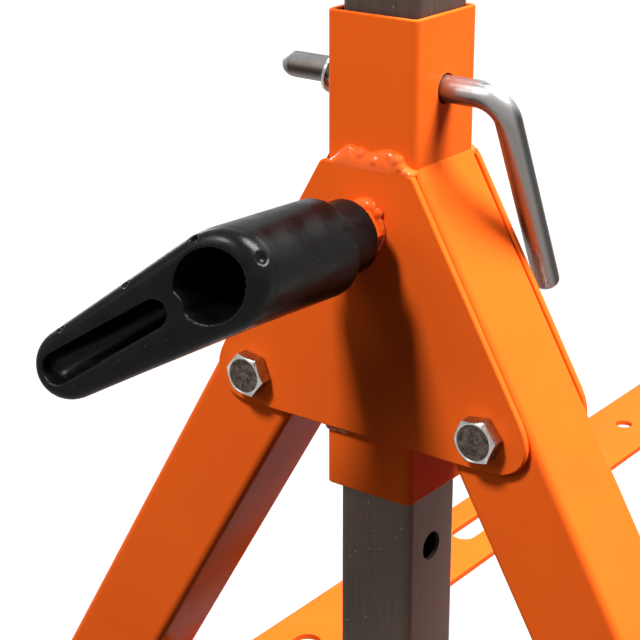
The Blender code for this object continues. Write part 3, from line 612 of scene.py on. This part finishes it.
def makeFoot():
    size = footSize
    hollow = legSize["side"] / 2 + touch
    half = hollow + size["wall"]
    mouth = size["top"] - size["band"]
    cap = block("foot", (-half, -half, size["blank"]), (half, half, size["top"]))
    roundCorners(cap, upright, size["corner"], 6)
    pick(cap, "FACE")  # a rolled band round the cap's mouth
    bpy.ops.mesh.bisect(plane_co=(0, 0, mouth), plane_no=upright)
    putDown()
    pick(cap, "FACE", lambda face: abs(face.normal.z) < flat and face.calc_center_median().z > mouth)
    bpy.ops.mesh.extrude_region_shrink_fatten(TRANSFORM_OT_shrink_fatten={"value": size["bandOut"]})
    putDown()
    moveMesh(cap, legPlace)
    sawBelow(cap, size["base"])
    low, high = size["socket"]
    socket = block("socket", (-hollow, -hollow, low), (hollow, hollow, high))
    roundCorners(socket, upright, legSize["corner"] + touch, 5)
    moveMesh(socket, legPlace)
    sawBelow(socket, size["floor"])
    cut(cap, socket)
    middleX = pivot.x + legAlong.x * (-size["base"] + pivot.z) / -legAlong.z
    for index in range(size["treads"]):
        x = middleX + (index - (size["treads"] - 1) / 2) * size["treadPitch"]
        cut(cap, block("tread", (x - size["tread"] / 2, -beyond, size["base"] - mm),
                       (x + size["tread"] / 2, beyond, size["base"] + size["treadDepth"])))
    softRims(cap, size["rim"], angle=50)
    smooth(cap, 35)
    setOut(cap, eachLeg("Foot", "{}_{}_foot"), "grey_rubber", rubber)


makeFoot()
print("plates, legs and feet ready")


# slotted stretchers, drawn on the right in the whole object's frame
def makeStretcher():
    size = railSize
    lift = heads["front"].translation.z
    corner = railCorner + Vector((0, 0, lift))
    half, x = size["length"] / 2, corner.x - size["width"] / 2
    deselectAll()
    bpy.ops.mesh.primitive_plane_add(size=1, location=(x, 0, corner.z))
    bpy.context.object.scale = (size["width"], size["length"], 1)
    rail = settle("stretcher")
    pick(rail, "EDGE", lambda edge: middle(edge).x > corner.x - mm)
    bpy.ops.mesh.extrude_edges_move(TRANSFORM_OT_translate={"value": legAlong * size["web"]})
    putDown()
    roundCorners(rail, (0, 1, 0), size["bend"], 5,
                 lambda edge: abs(middle(edge).x - corner.x) < mm and abs(middle(edge).z - corner.z) < mm)
    closeSeams(rail)
    facesUp = max(rail.data.polygons, key=lambda face: face.area).normal.z > 0
    finishWith(rail, "SOLIDIFY", thickness=size["sheet"], offset=-1 if facesUp else 1, use_even_offset=True)
    low, high = corner.z - size["sheet"] - mm, corner.z + mm
    for sign in (-1, 1):
        for length, place in (size["midSlot"], size["endSlot"]):
            reach, y = size["slot"] / 2, sign * place
            slot = block("slot", (x - reach, y - length / 2, low), (x + reach, y + length / 2, high))
            roundCorners(slot, upright, reach * 0.998, 10)  # just under half, so the ends stay clean
            cut(rail, slot)
        inner, outer = sorted((sign * size["endStart"], sign * beyond))
        notch = block("notch", (0, inner, low), (corner.x - size["endWidth"], outer, high))
        roundCorners(notch, upright, size["endCorner"], 4,
                     lambda edge: middle(edge).x > mm and abs(middle(edge).y) < half)
        cut(rail, notch)
        bolt = railBolt + Vector((0, sign * heads["rear"].translation.y, lift))
        reach = legAcross * size["drill"]
        cut(rail, bar("drill", size["boltHole"], bolt - reach, bolt + reach, 24))
    for y in size["holes"]:
        cut(rail, bar("drill", size["hole"], (x, y, low), (x, y, high), 32))
    softRims(rail, size["rim"], angle=60)
    smooth(rail, 35)
    setOut(rail, [("rightStretcher", Matrix(), "right_legs", ["right_stretcher"]),
                  ("leftStretcher", halfTurn, "left_legs", ["left_stretcher"])], "orange_coat", coat)


makeStretcher()
print("stretchers ready")

# bolts and nuts; each stands on Z = 0, its shank down -Z
pivotBoltSize = {"shank": 5 * mm, "flats": 16 * mm, "head": 6.4 * mm, "end": -60.2 * mm, "pitch": 1.5 * mm,
                 "nut": 8 * mm, "thread": 14 * mm, "turn": math.radians(8)}
railBoltSize = {"shank": 4 * mm, "flats": 13 * mm, "head": 5.3 * mm, "end": -54.4 * mm, "pitch": 1.25 * mm,
                "nut": 6.5 * mm, "thread": 11.5 * mm}
boltShape = {"seat": 0.35 * mm, "crown": 0.47, "washer": 0.475, "washerHigh": 0.6 * mm, "edge": 0.35 * mm,
             "press": 0.25 * mm, "rim": 0.12 * mm, "lap": 0.3 * mm, "point": 0.86, "pointLength": 1 * mm,
             "coreLap": 0.2 * mm, "lead": 1.2 * mm, "struckDepth": 0.6 * mm, "struckIn": 0.40 * mm,
             "struckFlat": 0.99}
nutShape = {"crown": 0.5, "clear": 0.1 * mm, "rim": 0.2 * mm}
threadShape = {"depth": 0.55, "root": 0.86, "crest": 0.18, "steps": 20}  # shares of the pitch; steps a turn
chamfer = math.tan(math.radians(30))


def hexStock(name, flats, low, high):
    deselectAll()
    bpy.ops.mesh.primitive_cylinder_add(vertices=6, radius=flats / math.sqrt(3), depth=high - low,
                                        location=(0, 0, (low + high) / 2), rotation=(0, 0, math.pi / 6))
    return settle(name)


def threadRidge(radius, pitch, low, high):  # a helical ridge wound up the shank
    shape = threadShape
    depth = shape["depth"] * pitch
    deselectAll()
    bpy.ops.mesh.primitive_plane_add(size=1, location=(radius - depth, 0, low), rotation=(math.pi / 2, 0, 0))
    bpy.context.object.scale = (depth * 2, pitch * shape["root"], 1)
    ridge = settle("thread")
    pick(ridge, "VERT", lambda vert: vert.co.x > radius - depth)
    bpy.ops.transform.resize(value=(1, 1, shape["crest"]), center_override=(radius, 0, low))
    putDown()
    turns = max(2, int((high - low) / pitch))
    steps = shape["steps"] * turns
    finishWith(ridge, "SCREW", axis="Z", angle=2 * math.pi * turns, screw_offset=pitch * turns,
               steps=steps, render_steps=steps, use_normal_calculate=True)
    closeSeams(ridge)
    return ridge


def makeBolt(name, size):
    shape, high, end = boltShape, size["head"], size["end"]
    head = hexStock(name, size["flats"], shape["seat"], high)
    crown = size["flats"] * shape["crown"]
    cut(head, bar("lathe", crown + high / chamfer, (0, 0, 0), (0, 0, high), 64, crown), "INTERSECT")
    pick(head, "FACE", lambda face: face.normal.z > shape["struckFlat"])  # pressed in a little
    bpy.ops.mesh.inset(thickness=shape["edge"])
    bpy.ops.transform.translate(value=(0, 0, -shape["press"]))
    putDown()
    softRims(head, shape["rim"], angle=20)
    root = size["shank"] - 0.5 * size["pitch"] * threadShape["depth"]
    threadStart, pointTop = end + size["thread"], end + shape["pointLength"]
    parts = [head]
    for part, radius, low, top, sides, endRadius in (
            ("washerFace", size["flats"] * shape["washer"], 0, shape["washerHigh"], 48, None),
            ("shank", size["shank"], threadStart, shape["lap"], 32, None),
            ("point", root * shape["point"], end, pointTop, 32, root),
            ("core", root, pointTop, threadStart + shape["coreLap"], 32, None)):
        parts.append(bar(part, radius, (0, 0, low), (0, 0, top), sides, endRadius))
    parts.append(threadRidge(size["shank"], size["pitch"], end + shape["lead"], threadStart))
    bolt = joinUp(parts)
    smooth(bolt, 32, False)
    for face in bolt.data.polygons:  # the second finish, painted dark as a painted reflection, goes on the struck face
        face.material_index = int(face.normal.z > shape["struckFlat"]
                                  and face.center.z > high - shape["struckDepth"]
                                  and face.center.xy.length < crown - shape["struckIn"])
    return bolt


def makeNut(name, size):
    high = size["nut"]
    stock = hexStock(name, size["flats"], 0, high)
    crown = size["flats"] * nutShape["crown"]
    spread = crown + high / chamfer
    for start, end in ((spread, crown), (crown, spread)):
        cut(stock, bar("lathe", start, (0, 0, 0), (0, 0, high), 64, end), "INTERSECT")
    cut(stock, bar("bore", size["shank"] + nutShape["clear"], (0, 0, -mm), (0, 0, high + mm), 32))
    softRims(stock, nutShape["rim"], angle=25)
    smooth(stock, 32)
    return stock


def eachPivot(label, way, turn, node):  # on both pivots of each head, facing out (-1) or in (1)
    seat = way * (plateSize["inside"] + plateSize["sheet"] + touch)
    rows = []
    for head, place, side, hand in eachSide((-1, 1)):
        stand = standOn((0, way, 0), (side * pivot.x, seat, pivot.z)) @ Matrix.Rotation(side * turn, 4, "Z")
        rows.append((head + hand.title() + label, place @ stand, "frame", [node.format(head, hand)]))
    return rows


setOut(makeBolt("pivotBolt", pivotBoltSize),
       eachPivot("PivotBolt", -1, pivotBoltSize["turn"], "{}_{}_pivot_bolt"), "zinc_steel", zinc, struckFace)
setOut(makeNut("pivotNut", pivotBoltSize), eachPivot("PivotNut", 1, 0, "{}_{}_pivot_nut"), "zinc_steel", zinc)

outside = standOn(legAcross, railBolt + legAcross * (legSize["side"] + 2 * touch))
inside = standOn(-legAcross, railBolt - legAcross * (railSize["sheet"] + touch))
setOut(moveMesh(makeBolt("railBolt", railBoltSize), outside),
       eachLeg("RailBolt", "{}_{}_rail_bolt"), "zinc_steel", zinc, struckFace)
setOut(moveMesh(makeNut("railNut", railBoltSize), inside),
       eachLeg("RailNut", "{}_{}_rail_nut"), "zinc_steel", zinc)
print("bolts and nuts ready")

# height pin; nose is (mm from the tip, share of the radius), butt is degrees round the arm's end
pinSize = {"radius": 5.1 * mm, "drop": 28 * mm, "tip": -54 * mm, "armOut": 44 * mm, "bend": 10.8 * mm,
           "arm": 79.5 * mm, "swing": math.radians(25.2), "bendSteps": 14,
           "nose": ((0, 0.46), (0.25, 0.58), (0.8, 0.70), (1.7, 0.82), (2.9, 0.92), (4.2, 0.98), (5.6, 1.0)),
           "butt": (0, 18, 36, 54, 70, 82), "buttLong": 0.55}


def makePin():
    size = pinSize
    level = Vector((0, 0, -size["drop"]))
    across = Vector((1, 0, 0))
    down = Vector((0, math.sin(size["swing"]), -math.cos(size["swing"])))
    radius = size["radius"]
    start = level + across * (size["armOut"] - size["bend"])
    route = [(level + across * (size["tip"] + run * mm), share) for run, share in size["nose"]]
    for index in range(size["bendSteps"] + 1):
        turn = math.pi / 2 * index / size["bendSteps"]
        route.append((start + (across * math.sin(turn) + down * (1 - math.cos(turn))) * size["bend"], 1.0))
    end = route[-1][0] + down * size["arm"]
    for degrees in size["butt"]:
        turn = math.radians(degrees)
        route.append((end + down * radius * size["buttLong"] * (math.sin(turn) - 1), math.cos(turn)))
    deselectAll()
    bpy.ops.curve.primitive_nurbs_path_add()
    rod = bpy.context.object
    rod.data.splines.clear()
    path = rod.data.splines.new("POLY")
    path.points.add(len(route) - 1)
    for point, (spot, share) in zip(path.points, route):
        point.co = (*spot, 1)
        point.radius = share
    rod.data.dimensions = "3D"
    rod.data.bevel_depth = radius
    rod.data.bevel_resolution = 7
    rod.data.use_fill_caps = True
    takeUp(rod)
    bpy.ops.object.convert(target="MESH")
    rod = settle("pin")
    closeSeams(rod)
    smooth(rod, 40, False)
    setOut(rod, eachHead("Pin", "{}_pin", "{}_pin"), "zinc_steel", rodZinc)


makePin()

# the bush that the pin runs in; its flange leans a little, the top away from the sleeve
bushSize = {"neck": 7 * mm, "flange": 8.8 * mm, "sheet": 1.2 * mm, "length": 10.8 * mm, "bore": 5.4 * mm,
            "lean": math.radians(13), "lap": 0.4 * mm, "rim": 0.3 * mm}


def makeBush():
    size = bushSize
    sheet, neck = size["sheet"], size["length"] - size["sheet"]
    ring = bar("bush", size["neck"], (0, 0, 0), (0, 0, neck + size["lap"]))
    flange = bar("flange", size["flange"], (0, 0, -sheet / 2), (0, 0, sheet / 2), 64)
    moveMesh(flange, Matrix.Translation((0, 0, neck)) @ Matrix.Rotation(size["lean"], 4, "Y"))
    cut(ring, flange, "UNION")
    cut(ring, bar("bore", size["bore"], (0, 0, -mm), (0, 0, size["length"] + mm)))
    softRims(ring, size["rim"])
    smooth(ring, 35)
    moveMesh(ring, standOn((-1, 0, 0), (-sleeveSize["side"] / 2 - touch, 0, -pinSize["drop"])))
    setOut(ring, eachHead("PinBush", "{}_pin_bush", "{}_pin_bush"), "zinc_steel", zinc)


makeBush()
print("pins ready")

# clamp lever, drawn along the arm (X), across it (Y, downwards) and outward (Z)
leverSize = {
    "drop": 79.5 * mm, "dip": math.radians(35), "back": 33.5 * mm, "collar": 14.2 * mm, "collarLap": 2 * mm,
    "hubStart": 50.5 * mm, "hub": 18.5 * mm, "hubEdge": 1.3 * mm, "hubShort": 8 * mm,
    "nose": 18.3 * mm, "noseAt": (-1.72 * mm, -2.46 * mm), "noseEdge": 5.4 * mm,
    "tip": 12.9 * mm, "tipAt": (59.3 * mm, -2.8 * mm), "tipEdge": 4.2 * mm,
    "face": 112 * mm, "lean": 0.343, "rearFace": 82 * mm, "rearLean": 0.605,
    "recess": 12.8 * mm, "recessAt": (-0.92 * mm, -2.46 * mm), "recessFloor": 70 * mm, "recessTop": 150 * mm,
    "rib": 9 * mm, "ribAt": 20 * mm, "ribEnds": (60 * mm, 160 * mm), "bore": 5.3 * mm, "boreStart": 20 * mm,
    "pocketStart": (21.4 * mm, 5 * mm, 18 * mm), "pocketEnd": (62.5 * mm, 5.6 * mm, 7.4 * mm),
    "pocketAt": -3.5 * mm, "pocketOut": 8 * mm,
    "dimple": (-20.3 * mm, -2.1 * mm, 102.1 * mm), "dimpleRadius": 2.5 * mm,
    "notches": ((-2.6 * mm, -18.4 * mm, 109.4 * mm), (26.6 * mm, -17.4 * mm, 119.6 * mm),
                (55.4 * mm, -15.0 * mm, 129.2 * mm)), "notchRadius": 1.55 * mm,
    "seam": 0.28 * mm, "seamStart": (-18.45 * mm, 0, 52.5 * mm), "seamEnd": (-19.5 * mm, 0, 97 * mm),
    "rollStep": 15, "voxel": 0.62 * mm, "melts": 6, "keep": 0.42,
}


def faceOut(run):
    return leverSize["face"] + leverSize["lean"] * run


def rearOut(run):
    return leverSize["rearFace"] + leverSize["rearLean"] * run


def leaningPost(name, radius, centre, low, high, sides):  # an upright bar, its ends on the lever's slopes
    x, y = centre
    post = bar(name, radius, (x, y, 0), (x, y, beyond), sides)
    for vert in post.data.vertices:
        vert.co.z = high(vert.co.x) if vert.co.z > beyond / 2 else low(vert.co.x)
    return post


def rolledPosts(radius, centre, edge):  # upright bars whose hull has its two end edges rolled over
    posts = []
    for degrees in range(0, 91, leverSize["rollStep"]):
        turn = math.radians(degrees)
        drop, inset = edge * (1 - math.sin(turn)), edge * (1 - math.cos(turn))
        posts.append(leaningPost("rolledEnd", radius - inset, centre,
                                 lambda run, back=drop: rearOut(run) + back,
                                 lambda run, back=drop: faceOut(run) - back, 72))
    return posts


def leanWithHub(post):  # the hub's axis drifts from the screw to the nose as it comes outward
    size = leverSize
    drift = Vector((*size["noseAt"], 0))
    for vert in post.data.vertices:
        vert.co += drift * ((vert.co.z - size["hubStart"]) / (size["face"] - size["hubStart"]))
    return post


def hullOf(name, parts):
    shape = joinUp(parts)
    shape.name = name
    pick(shape, "VERT")
    bpy.ops.mesh.delete(type="EDGE_FACE")
    bpy.ops.mesh.select_all(action="SELECT")
    bpy.ops.mesh.convex_hull()
    bpy.ops.mesh.select_all(action="SELECT")
    bpy.ops.mesh.dissolve_limited(angle_limit=math.radians(0.5))
    bpy.ops.mesh.normals_make_consistent(inside=False)
    putDown()
    return shape


def makeLever():
    size = leverSize
    start = size["hubStart"]
    body = bar("lever", size["collar"], (0, 0, size["back"]), (0, 0, start + size["collarLap"]), 64)
    hub = leaningPost("hub", size["hub"], (0, 0), lambda run: start,
                      lambda run: faceOut(run) - size["hubShort"], 96)
    leanWithHub(hub)
    pick(hub, "EDGE", lambda edge: middle(edge).z < start + 0.1 * mm)
    bpy.ops.mesh.bevel(offset=size["hubEdge"], segments=3, affect="EDGES")
    putDown()
    nose = [leanWithHub(post) for post in rolledPosts(size["nose"], (0, 0), size["noseEdge"])]
    arm = hullOf("arm", nose + rolledPosts(size["tip"], size["tipAt"], size["tipEdge"]))
    cut(body, hub, "UNION")
    cut(body, arm, "UNION")
    x, y = size["recessAt"]
    floor, (ribLow, ribHigh) = size["recessFloor"], size["ribEnds"]
    well = bar("well", size["recess"], (x, y, floor), (x, y, size["recessTop"]), 64)
    ribX = x + size["ribAt"]
    cut(well, bar("rib", size["rib"], (ribX, y, ribLow), (ribX, y, ribHigh), 48))
    cut(body, well)
    cut(body, bar("bore", size["bore"], (0, 0, size["boreStart"]), (0, 0, floor + mm)))
    ends, y = [], size["pocketAt"]
    for run, radius, depth in (size["pocketStart"], size["pocketEnd"]):  # a trough with a round floor
        ends.append(leaningPost("pocketEnd", radius, (run, y),
                                lambda at, deep=depth - radius: faceOut(at) - deep,
                                lambda at: faceOut(at) + size["pocketOut"], 32))
        ends.append(ball("pocketFloor", radius, (run, y, faceOut(run) - depth + radius)))
    cut(body, hullOf("pocket", ends))
    cut(body, ball("dimple", size["dimpleRadius"], size["dimple"]))
    for place in size["notches"]:
        cut(body, ball("notch", size["notchRadius"], place))
    melt(body, size["voxel"], size["melts"])
    finishWith(body, "DECIMATE", ratio=size["keep"])
    seam = bar("seam", size["seam"], size["seamStart"], size["seamEnd"], 12)
    joinUp([body, seam])  # the mould's parting line along the hub
    smooth(body, 60, False)
    down, across = math.sin(size["dip"]), math.cos(size["dip"])
    axes = Matrix(((-across, down, 0, 0), (0, 0, -1, 0), (-down, -across, 0, -size["drop"]), (0, 0, 0, 1)))
    moveMesh(body, axes)
    setOut(body, eachHead("Lever", "{}_lever", "{}_lever"), "black_nylon", nylon)


makeLever()

# clamp nut; the lever's stud stays the CAD's own
clampNutSize = {"flats": 17 * mm, "nut": 9.6 * mm, "shank": 5.2 * mm, "at": 23.6 * mm}
nutFoot = Vector((0, -clampNutSize["at"], -leverSize["drop"]))
setOut(moveMesh(makeNut("clampNut", clampNutSize), standOn((0, -1, 0), nutFoot)),
       eachHead("ClampNut", "frame", "{}_clamp_nut"), "orange_coat", coat)
for head in heads:
    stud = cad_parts[head + "_lever_stud"]
    stud.data.materials.clear()
    stud.data.materials.append(zinc)
print("levers ready")

# weld beads: overlapping lumps melted into one another and painted over
beadSize = {
    "crest": ((-15.7, -55.2), (-13.8, -52.9), (-11.5, -50.1), (-8.8, -48.9), (-5.6, -49.3), (-2.4, -50.3),
              (0.7, -50.5), (3.9, -49.5), (6.5, -48.3), (9.2, -48.0), (12.3, -48.7), (14.5, -50.2),
              (16.2, -52.8), (18.8, -55.0)),  # top of the bead on the sleeve, mm
    "blobs": ((-8.6, -19.3, -51.8, 3.0), (-3.2, -19.8, -52.2, 3.0), (3.4, -20.6, -53.6, 3.0),
              (9.6, -19.6, -51.2, 3.0), (13.2, -20.3, -52.0, 3.1), (14.6, -20.9, -54.2, 2.7),
              (17.2, -21.4, -55.6, 2.0), (19.2, -21.6, -56.2, 1.6)),  # x, y, z and radius, mm
    "base": -56.4 * mm, "middle": 18 * mm, "depth": 5.45 * mm, "depthSpread": 0.01, "half": 2.8 * mm,
    "rise": 1.07, "pitch": 1.2 * mm,
    "footEnds": ((-17.8, -165.0), (-10.5, -165.0)), "footOut": 0.5 * mm, "footPitch": 2.4 * mm,
    "foot": (2.2 * mm, 0.9 * mm, 1.7 * mm), "footSpread": 0.34,
    "nutRing": 8.9 * mm, "nutStep": 10, "nutLump": 1.3 * mm, "nutSpread": 0.06,
    "heapAt": (1.0 * mm, 9.0 * mm), "heap": (5.8 * mm, 3.1 * mm, 3.6 * mm),
    "shoulderOut": 0.8, "shoulderDrop": 1.6 * mm, "shoulder": 0.62,  # two smaller lumps beside the heap
    "post": (2.4 * mm, 2.4 * mm, 1.9 * mm), "postDrop": 0.8 * mm, "postPitch": 2.2 * mm, "postSpread": 0.15,
    "voxel": 0.45 * mm, "melts": 8,
}


def makeBead(name, lumps):
    balls = []
    for spot, radii in lumps:
        deselectAll()
        bpy.ops.mesh.primitive_ico_sphere_add(subdivisions=3, radius=1, location=spot)
        bpy.context.object.scale = radii
        balls.append(settle(name))
    bead = joinUp(balls)
    melt(bead, beadSize["voxel"], beadSize["melts"])
    smooth(bead, 80, False)
    return bead


def vary(value, share):
    return value * chance.uniform(1 - share, 1 + share)


def row(start, end, pitch, radii, spread):
    start, end = Vector(start), Vector(end)
    count = max(2, round((end - start).length / pitch))
    lumps = []
    for index in range(count + 1):
        grow = vary(1, spread)
        lumps.append((start.lerp(end, index / count), [radius * grow for radius in radii]))
    return lumps


def crestLumps(side):
    size = beadSize
    crest = [(x * mm, z * mm) for x, z in size["crest"]]
    x, lumps = crest[0][0], []
    while x <= crest[-1][0]:
        for (x0, z0), (x1, z1) in zip(crest, crest[1:]):
            if x0 <= x <= x1:
                top = z0 + (z1 - z0) * (x - x0) / (x1 - x0)
        depth, rise = vary(size["depth"], size["depthSpread"]), size["rise"] * (top - size["base"])
        lumps.append(((x, side * size["middle"], size["base"]), (size["half"], depth, rise)))
        x += size["pitch"]
    for x, y, z, radius in size["blobs"]:
        lumps.append((Vector((x, -side * y, z)) * mm, [radius * mm] * 3))
    return lumps


def nutLumps():  # a thin fillet round the nut, heaped up above it
    size = beadSize
    x, z = size["heapAt"]
    lumps = [(nutFoot + Vector((x, 0, z)), size["heap"])]
    for side in (-1, 1):
        out = x + side * size["heap"][0] * size["shoulderOut"]
        lumps.append((nutFoot + Vector((out, 0, z - size["shoulderDrop"])),
                      [radius * size["shoulder"] for radius in size["heap"]]))
    for degrees in range(0, 360, size["nutStep"]):
        turn = math.radians(degrees)
        spot = nutFoot + Vector((math.cos(turn), 0, math.sin(turn))) * size["nutRing"]
        lumps.append((spot, [vary(size["nutLump"], size["nutSpread"])] * 3))
    return lumps


def postLumps():  # all round the post, under the beam
    size = beadSize
    half, aside, high = postSize["side"] / 2, postSize["aside"], postSize["high"] - size["postDrop"]
    corners = [(x * half + aside, y * half + aside, high) for x, y in ((-1, -1), (1, -1), (1, 1), (-1, 1))]
    lumps = []
    for start, end in zip(corners, corners[1:] + corners[:1]):
        lumps += row(start, end, size["postPitch"], size["post"], size["postSpread"])
    return lumps


def makeWelds():
    size = beadSize
    for label, side in (("Outer", -1), ("Inner", 1)):
        y = side * (sleeveSize["side"] / 2 + size["footOut"])
        lumps = crestLumps(side)
        start, end = [(x * mm, y, z * mm) for x, z in size["footEnds"]]
        lumps += row(start, end, size["footPitch"], size["foot"], size["footSpread"])
        setOut(makeBead("plateBead", lumps), eachHead(label + "PlateBead", "frame"), "orange_coat", weldCoat)
    setOut(makeBead("nutBead", nutLumps()), eachHead("NutBead", "frame"), "orange_coat", weldCoat)
    setOut(makeBead("postBead", postLumps()), eachHead("PostBead", "upper"), "bare_steel", postSteel)


makeWelds()
print("welds ready")

# stage, light and camera
stageSize = {"floor": 30.0, "floorDrop": 0.2 * mm, "seen": "EFEEEC", "bounce": "302F2F", "whiteShare": 0.85,
             "white": 1.05, "worldFill": 0.09}


def whiteToCamera(tree):  # 1 for rays that see the background, 0 for rays that light the object
    path = addNode(tree, "LightPath", {})
    first = addNode(tree, "Math", {"operation": "MAXIMUM"},
                    {0: path.outputs["Is Camera Ray"], 1: path.outputs["Is Glossy Ray"]})
    return addNode(tree, "Math", {"operation": "MAXIMUM"},
                   {0: first, 1: path.outputs["Is Transmission Ray"]})


def makeFloor():
    size = stageSize
    deselectAll()
    bpy.ops.mesh.primitive_plane_add(size=size["floor"], location=(0, 0, -size["floorDrop"]))
    floor = settle("studioFloor")
    finish = bpy.data.materials.new("studioPaper")
    tree = emptyTree(finish)
    paper = addNode(tree, "BsdfDiffuse", {"Color": hexColour(size["seen"])})
    glow = addNode(tree, "Emission", {"Strength": size["white"]})
    seen = addNode(tree, "MixShader", {0: size["whiteShare"]}, {1: paper, 2: glow})
    bounce = addNode(tree, "BsdfDiffuse", {"Color": hexColour(size["bounce"])})
    both = addNode(tree, "MixShader", {}, {0: whiteToCamera(tree), 1: bounce, 2: seen})
    addNode(tree, "OutputMaterial", {}, {"Surface": both})
    floor.data.materials.append(finish)


def makeWorld():
    world = bpy.data.worlds.new("studioWorld")
    bpy.context.scene.world = world
    tree = emptyTree(world)
    fill, white = [addNode(tree, "Background", {"Color": (1, 1, 1, 1), "Strength": strength})
                   for strength in (stageSize["worldFill"], 1.0)]
    both = addNode(tree, "MixShader", {}, {0: whiteToCamera(tree), 1: fill, 2: white})
    addNode(tree, "OutputWorld", {}, {"Surface": both})


makeFloor()
makeWorld()

lamps = (  # name, place, target, size, watts
    ("rightLight", (0.80, 0.05, 2.22), (0, -0.40, 0.42), 1.05, 162),
    ("frontKey", (-0.40, -2.185, 2.70), (0, -0.47, 0.45), 0.44, 94),
    ("frontFill", (-0.86, -2.65, 1.51), (0, -0.45, 0.40), 0.8, 8),
    ("rearFill", (-0.4, 2.5, 1.7), (0, 0.3, 0.4), 1.2, 36),
    ("leftFill", (-1.9, 0.5, 1.1), (0, 0, 0.35), 1.0, 24),
)
for name, place, target, size, watts in lamps:
    deselectAll()
    bpy.ops.object.light_add(type="AREA", location=place)
    lamp = bpy.context.object
    lamp.name = name
    lamp.data.size = size
    lamp.data.energy = watts
    lamp.rotation_mode = "QUATERNION"
    lamp.rotation_quaternion = (Vector(target) - Vector(place)).to_track_quat("-Z", "Y")

cameraSize = {"place": (0.37259, -0.99689, 0.66612), "yaw": 36.90, "pitch": 20.62, "roll": -0.09,
              "lens": 102.04, "sensor": 36, "clip": (0.01, 100)}
deselectAll()
bpy.ops.object.camera_add(location=cameraSize["place"])
camera = bpy.context.object
camera.name = "photoCamera"
turn = (Matrix.Rotation(math.radians(cameraSize["yaw"]), 3, "Z")
        @ Matrix.Rotation(math.radians(90 - cameraSize["pitch"]), 3, "X")
        @ Matrix.Rotation(math.radians(cameraSize["roll"]), 3, "Z"))
camera.rotation_euler = turn.to_euler()
camera.data.sensor_width = cameraSize["sensor"]
camera.data.lens = cameraSize["lens"]
camera.data.clip_start, camera.data.clip_end = cameraSize["clip"]
bpy.context.scene.camera = camera
bpy.context.scene.view_settings.view_transform = "Standard"
print("stage ready")

bpy.context.view_layer.update()
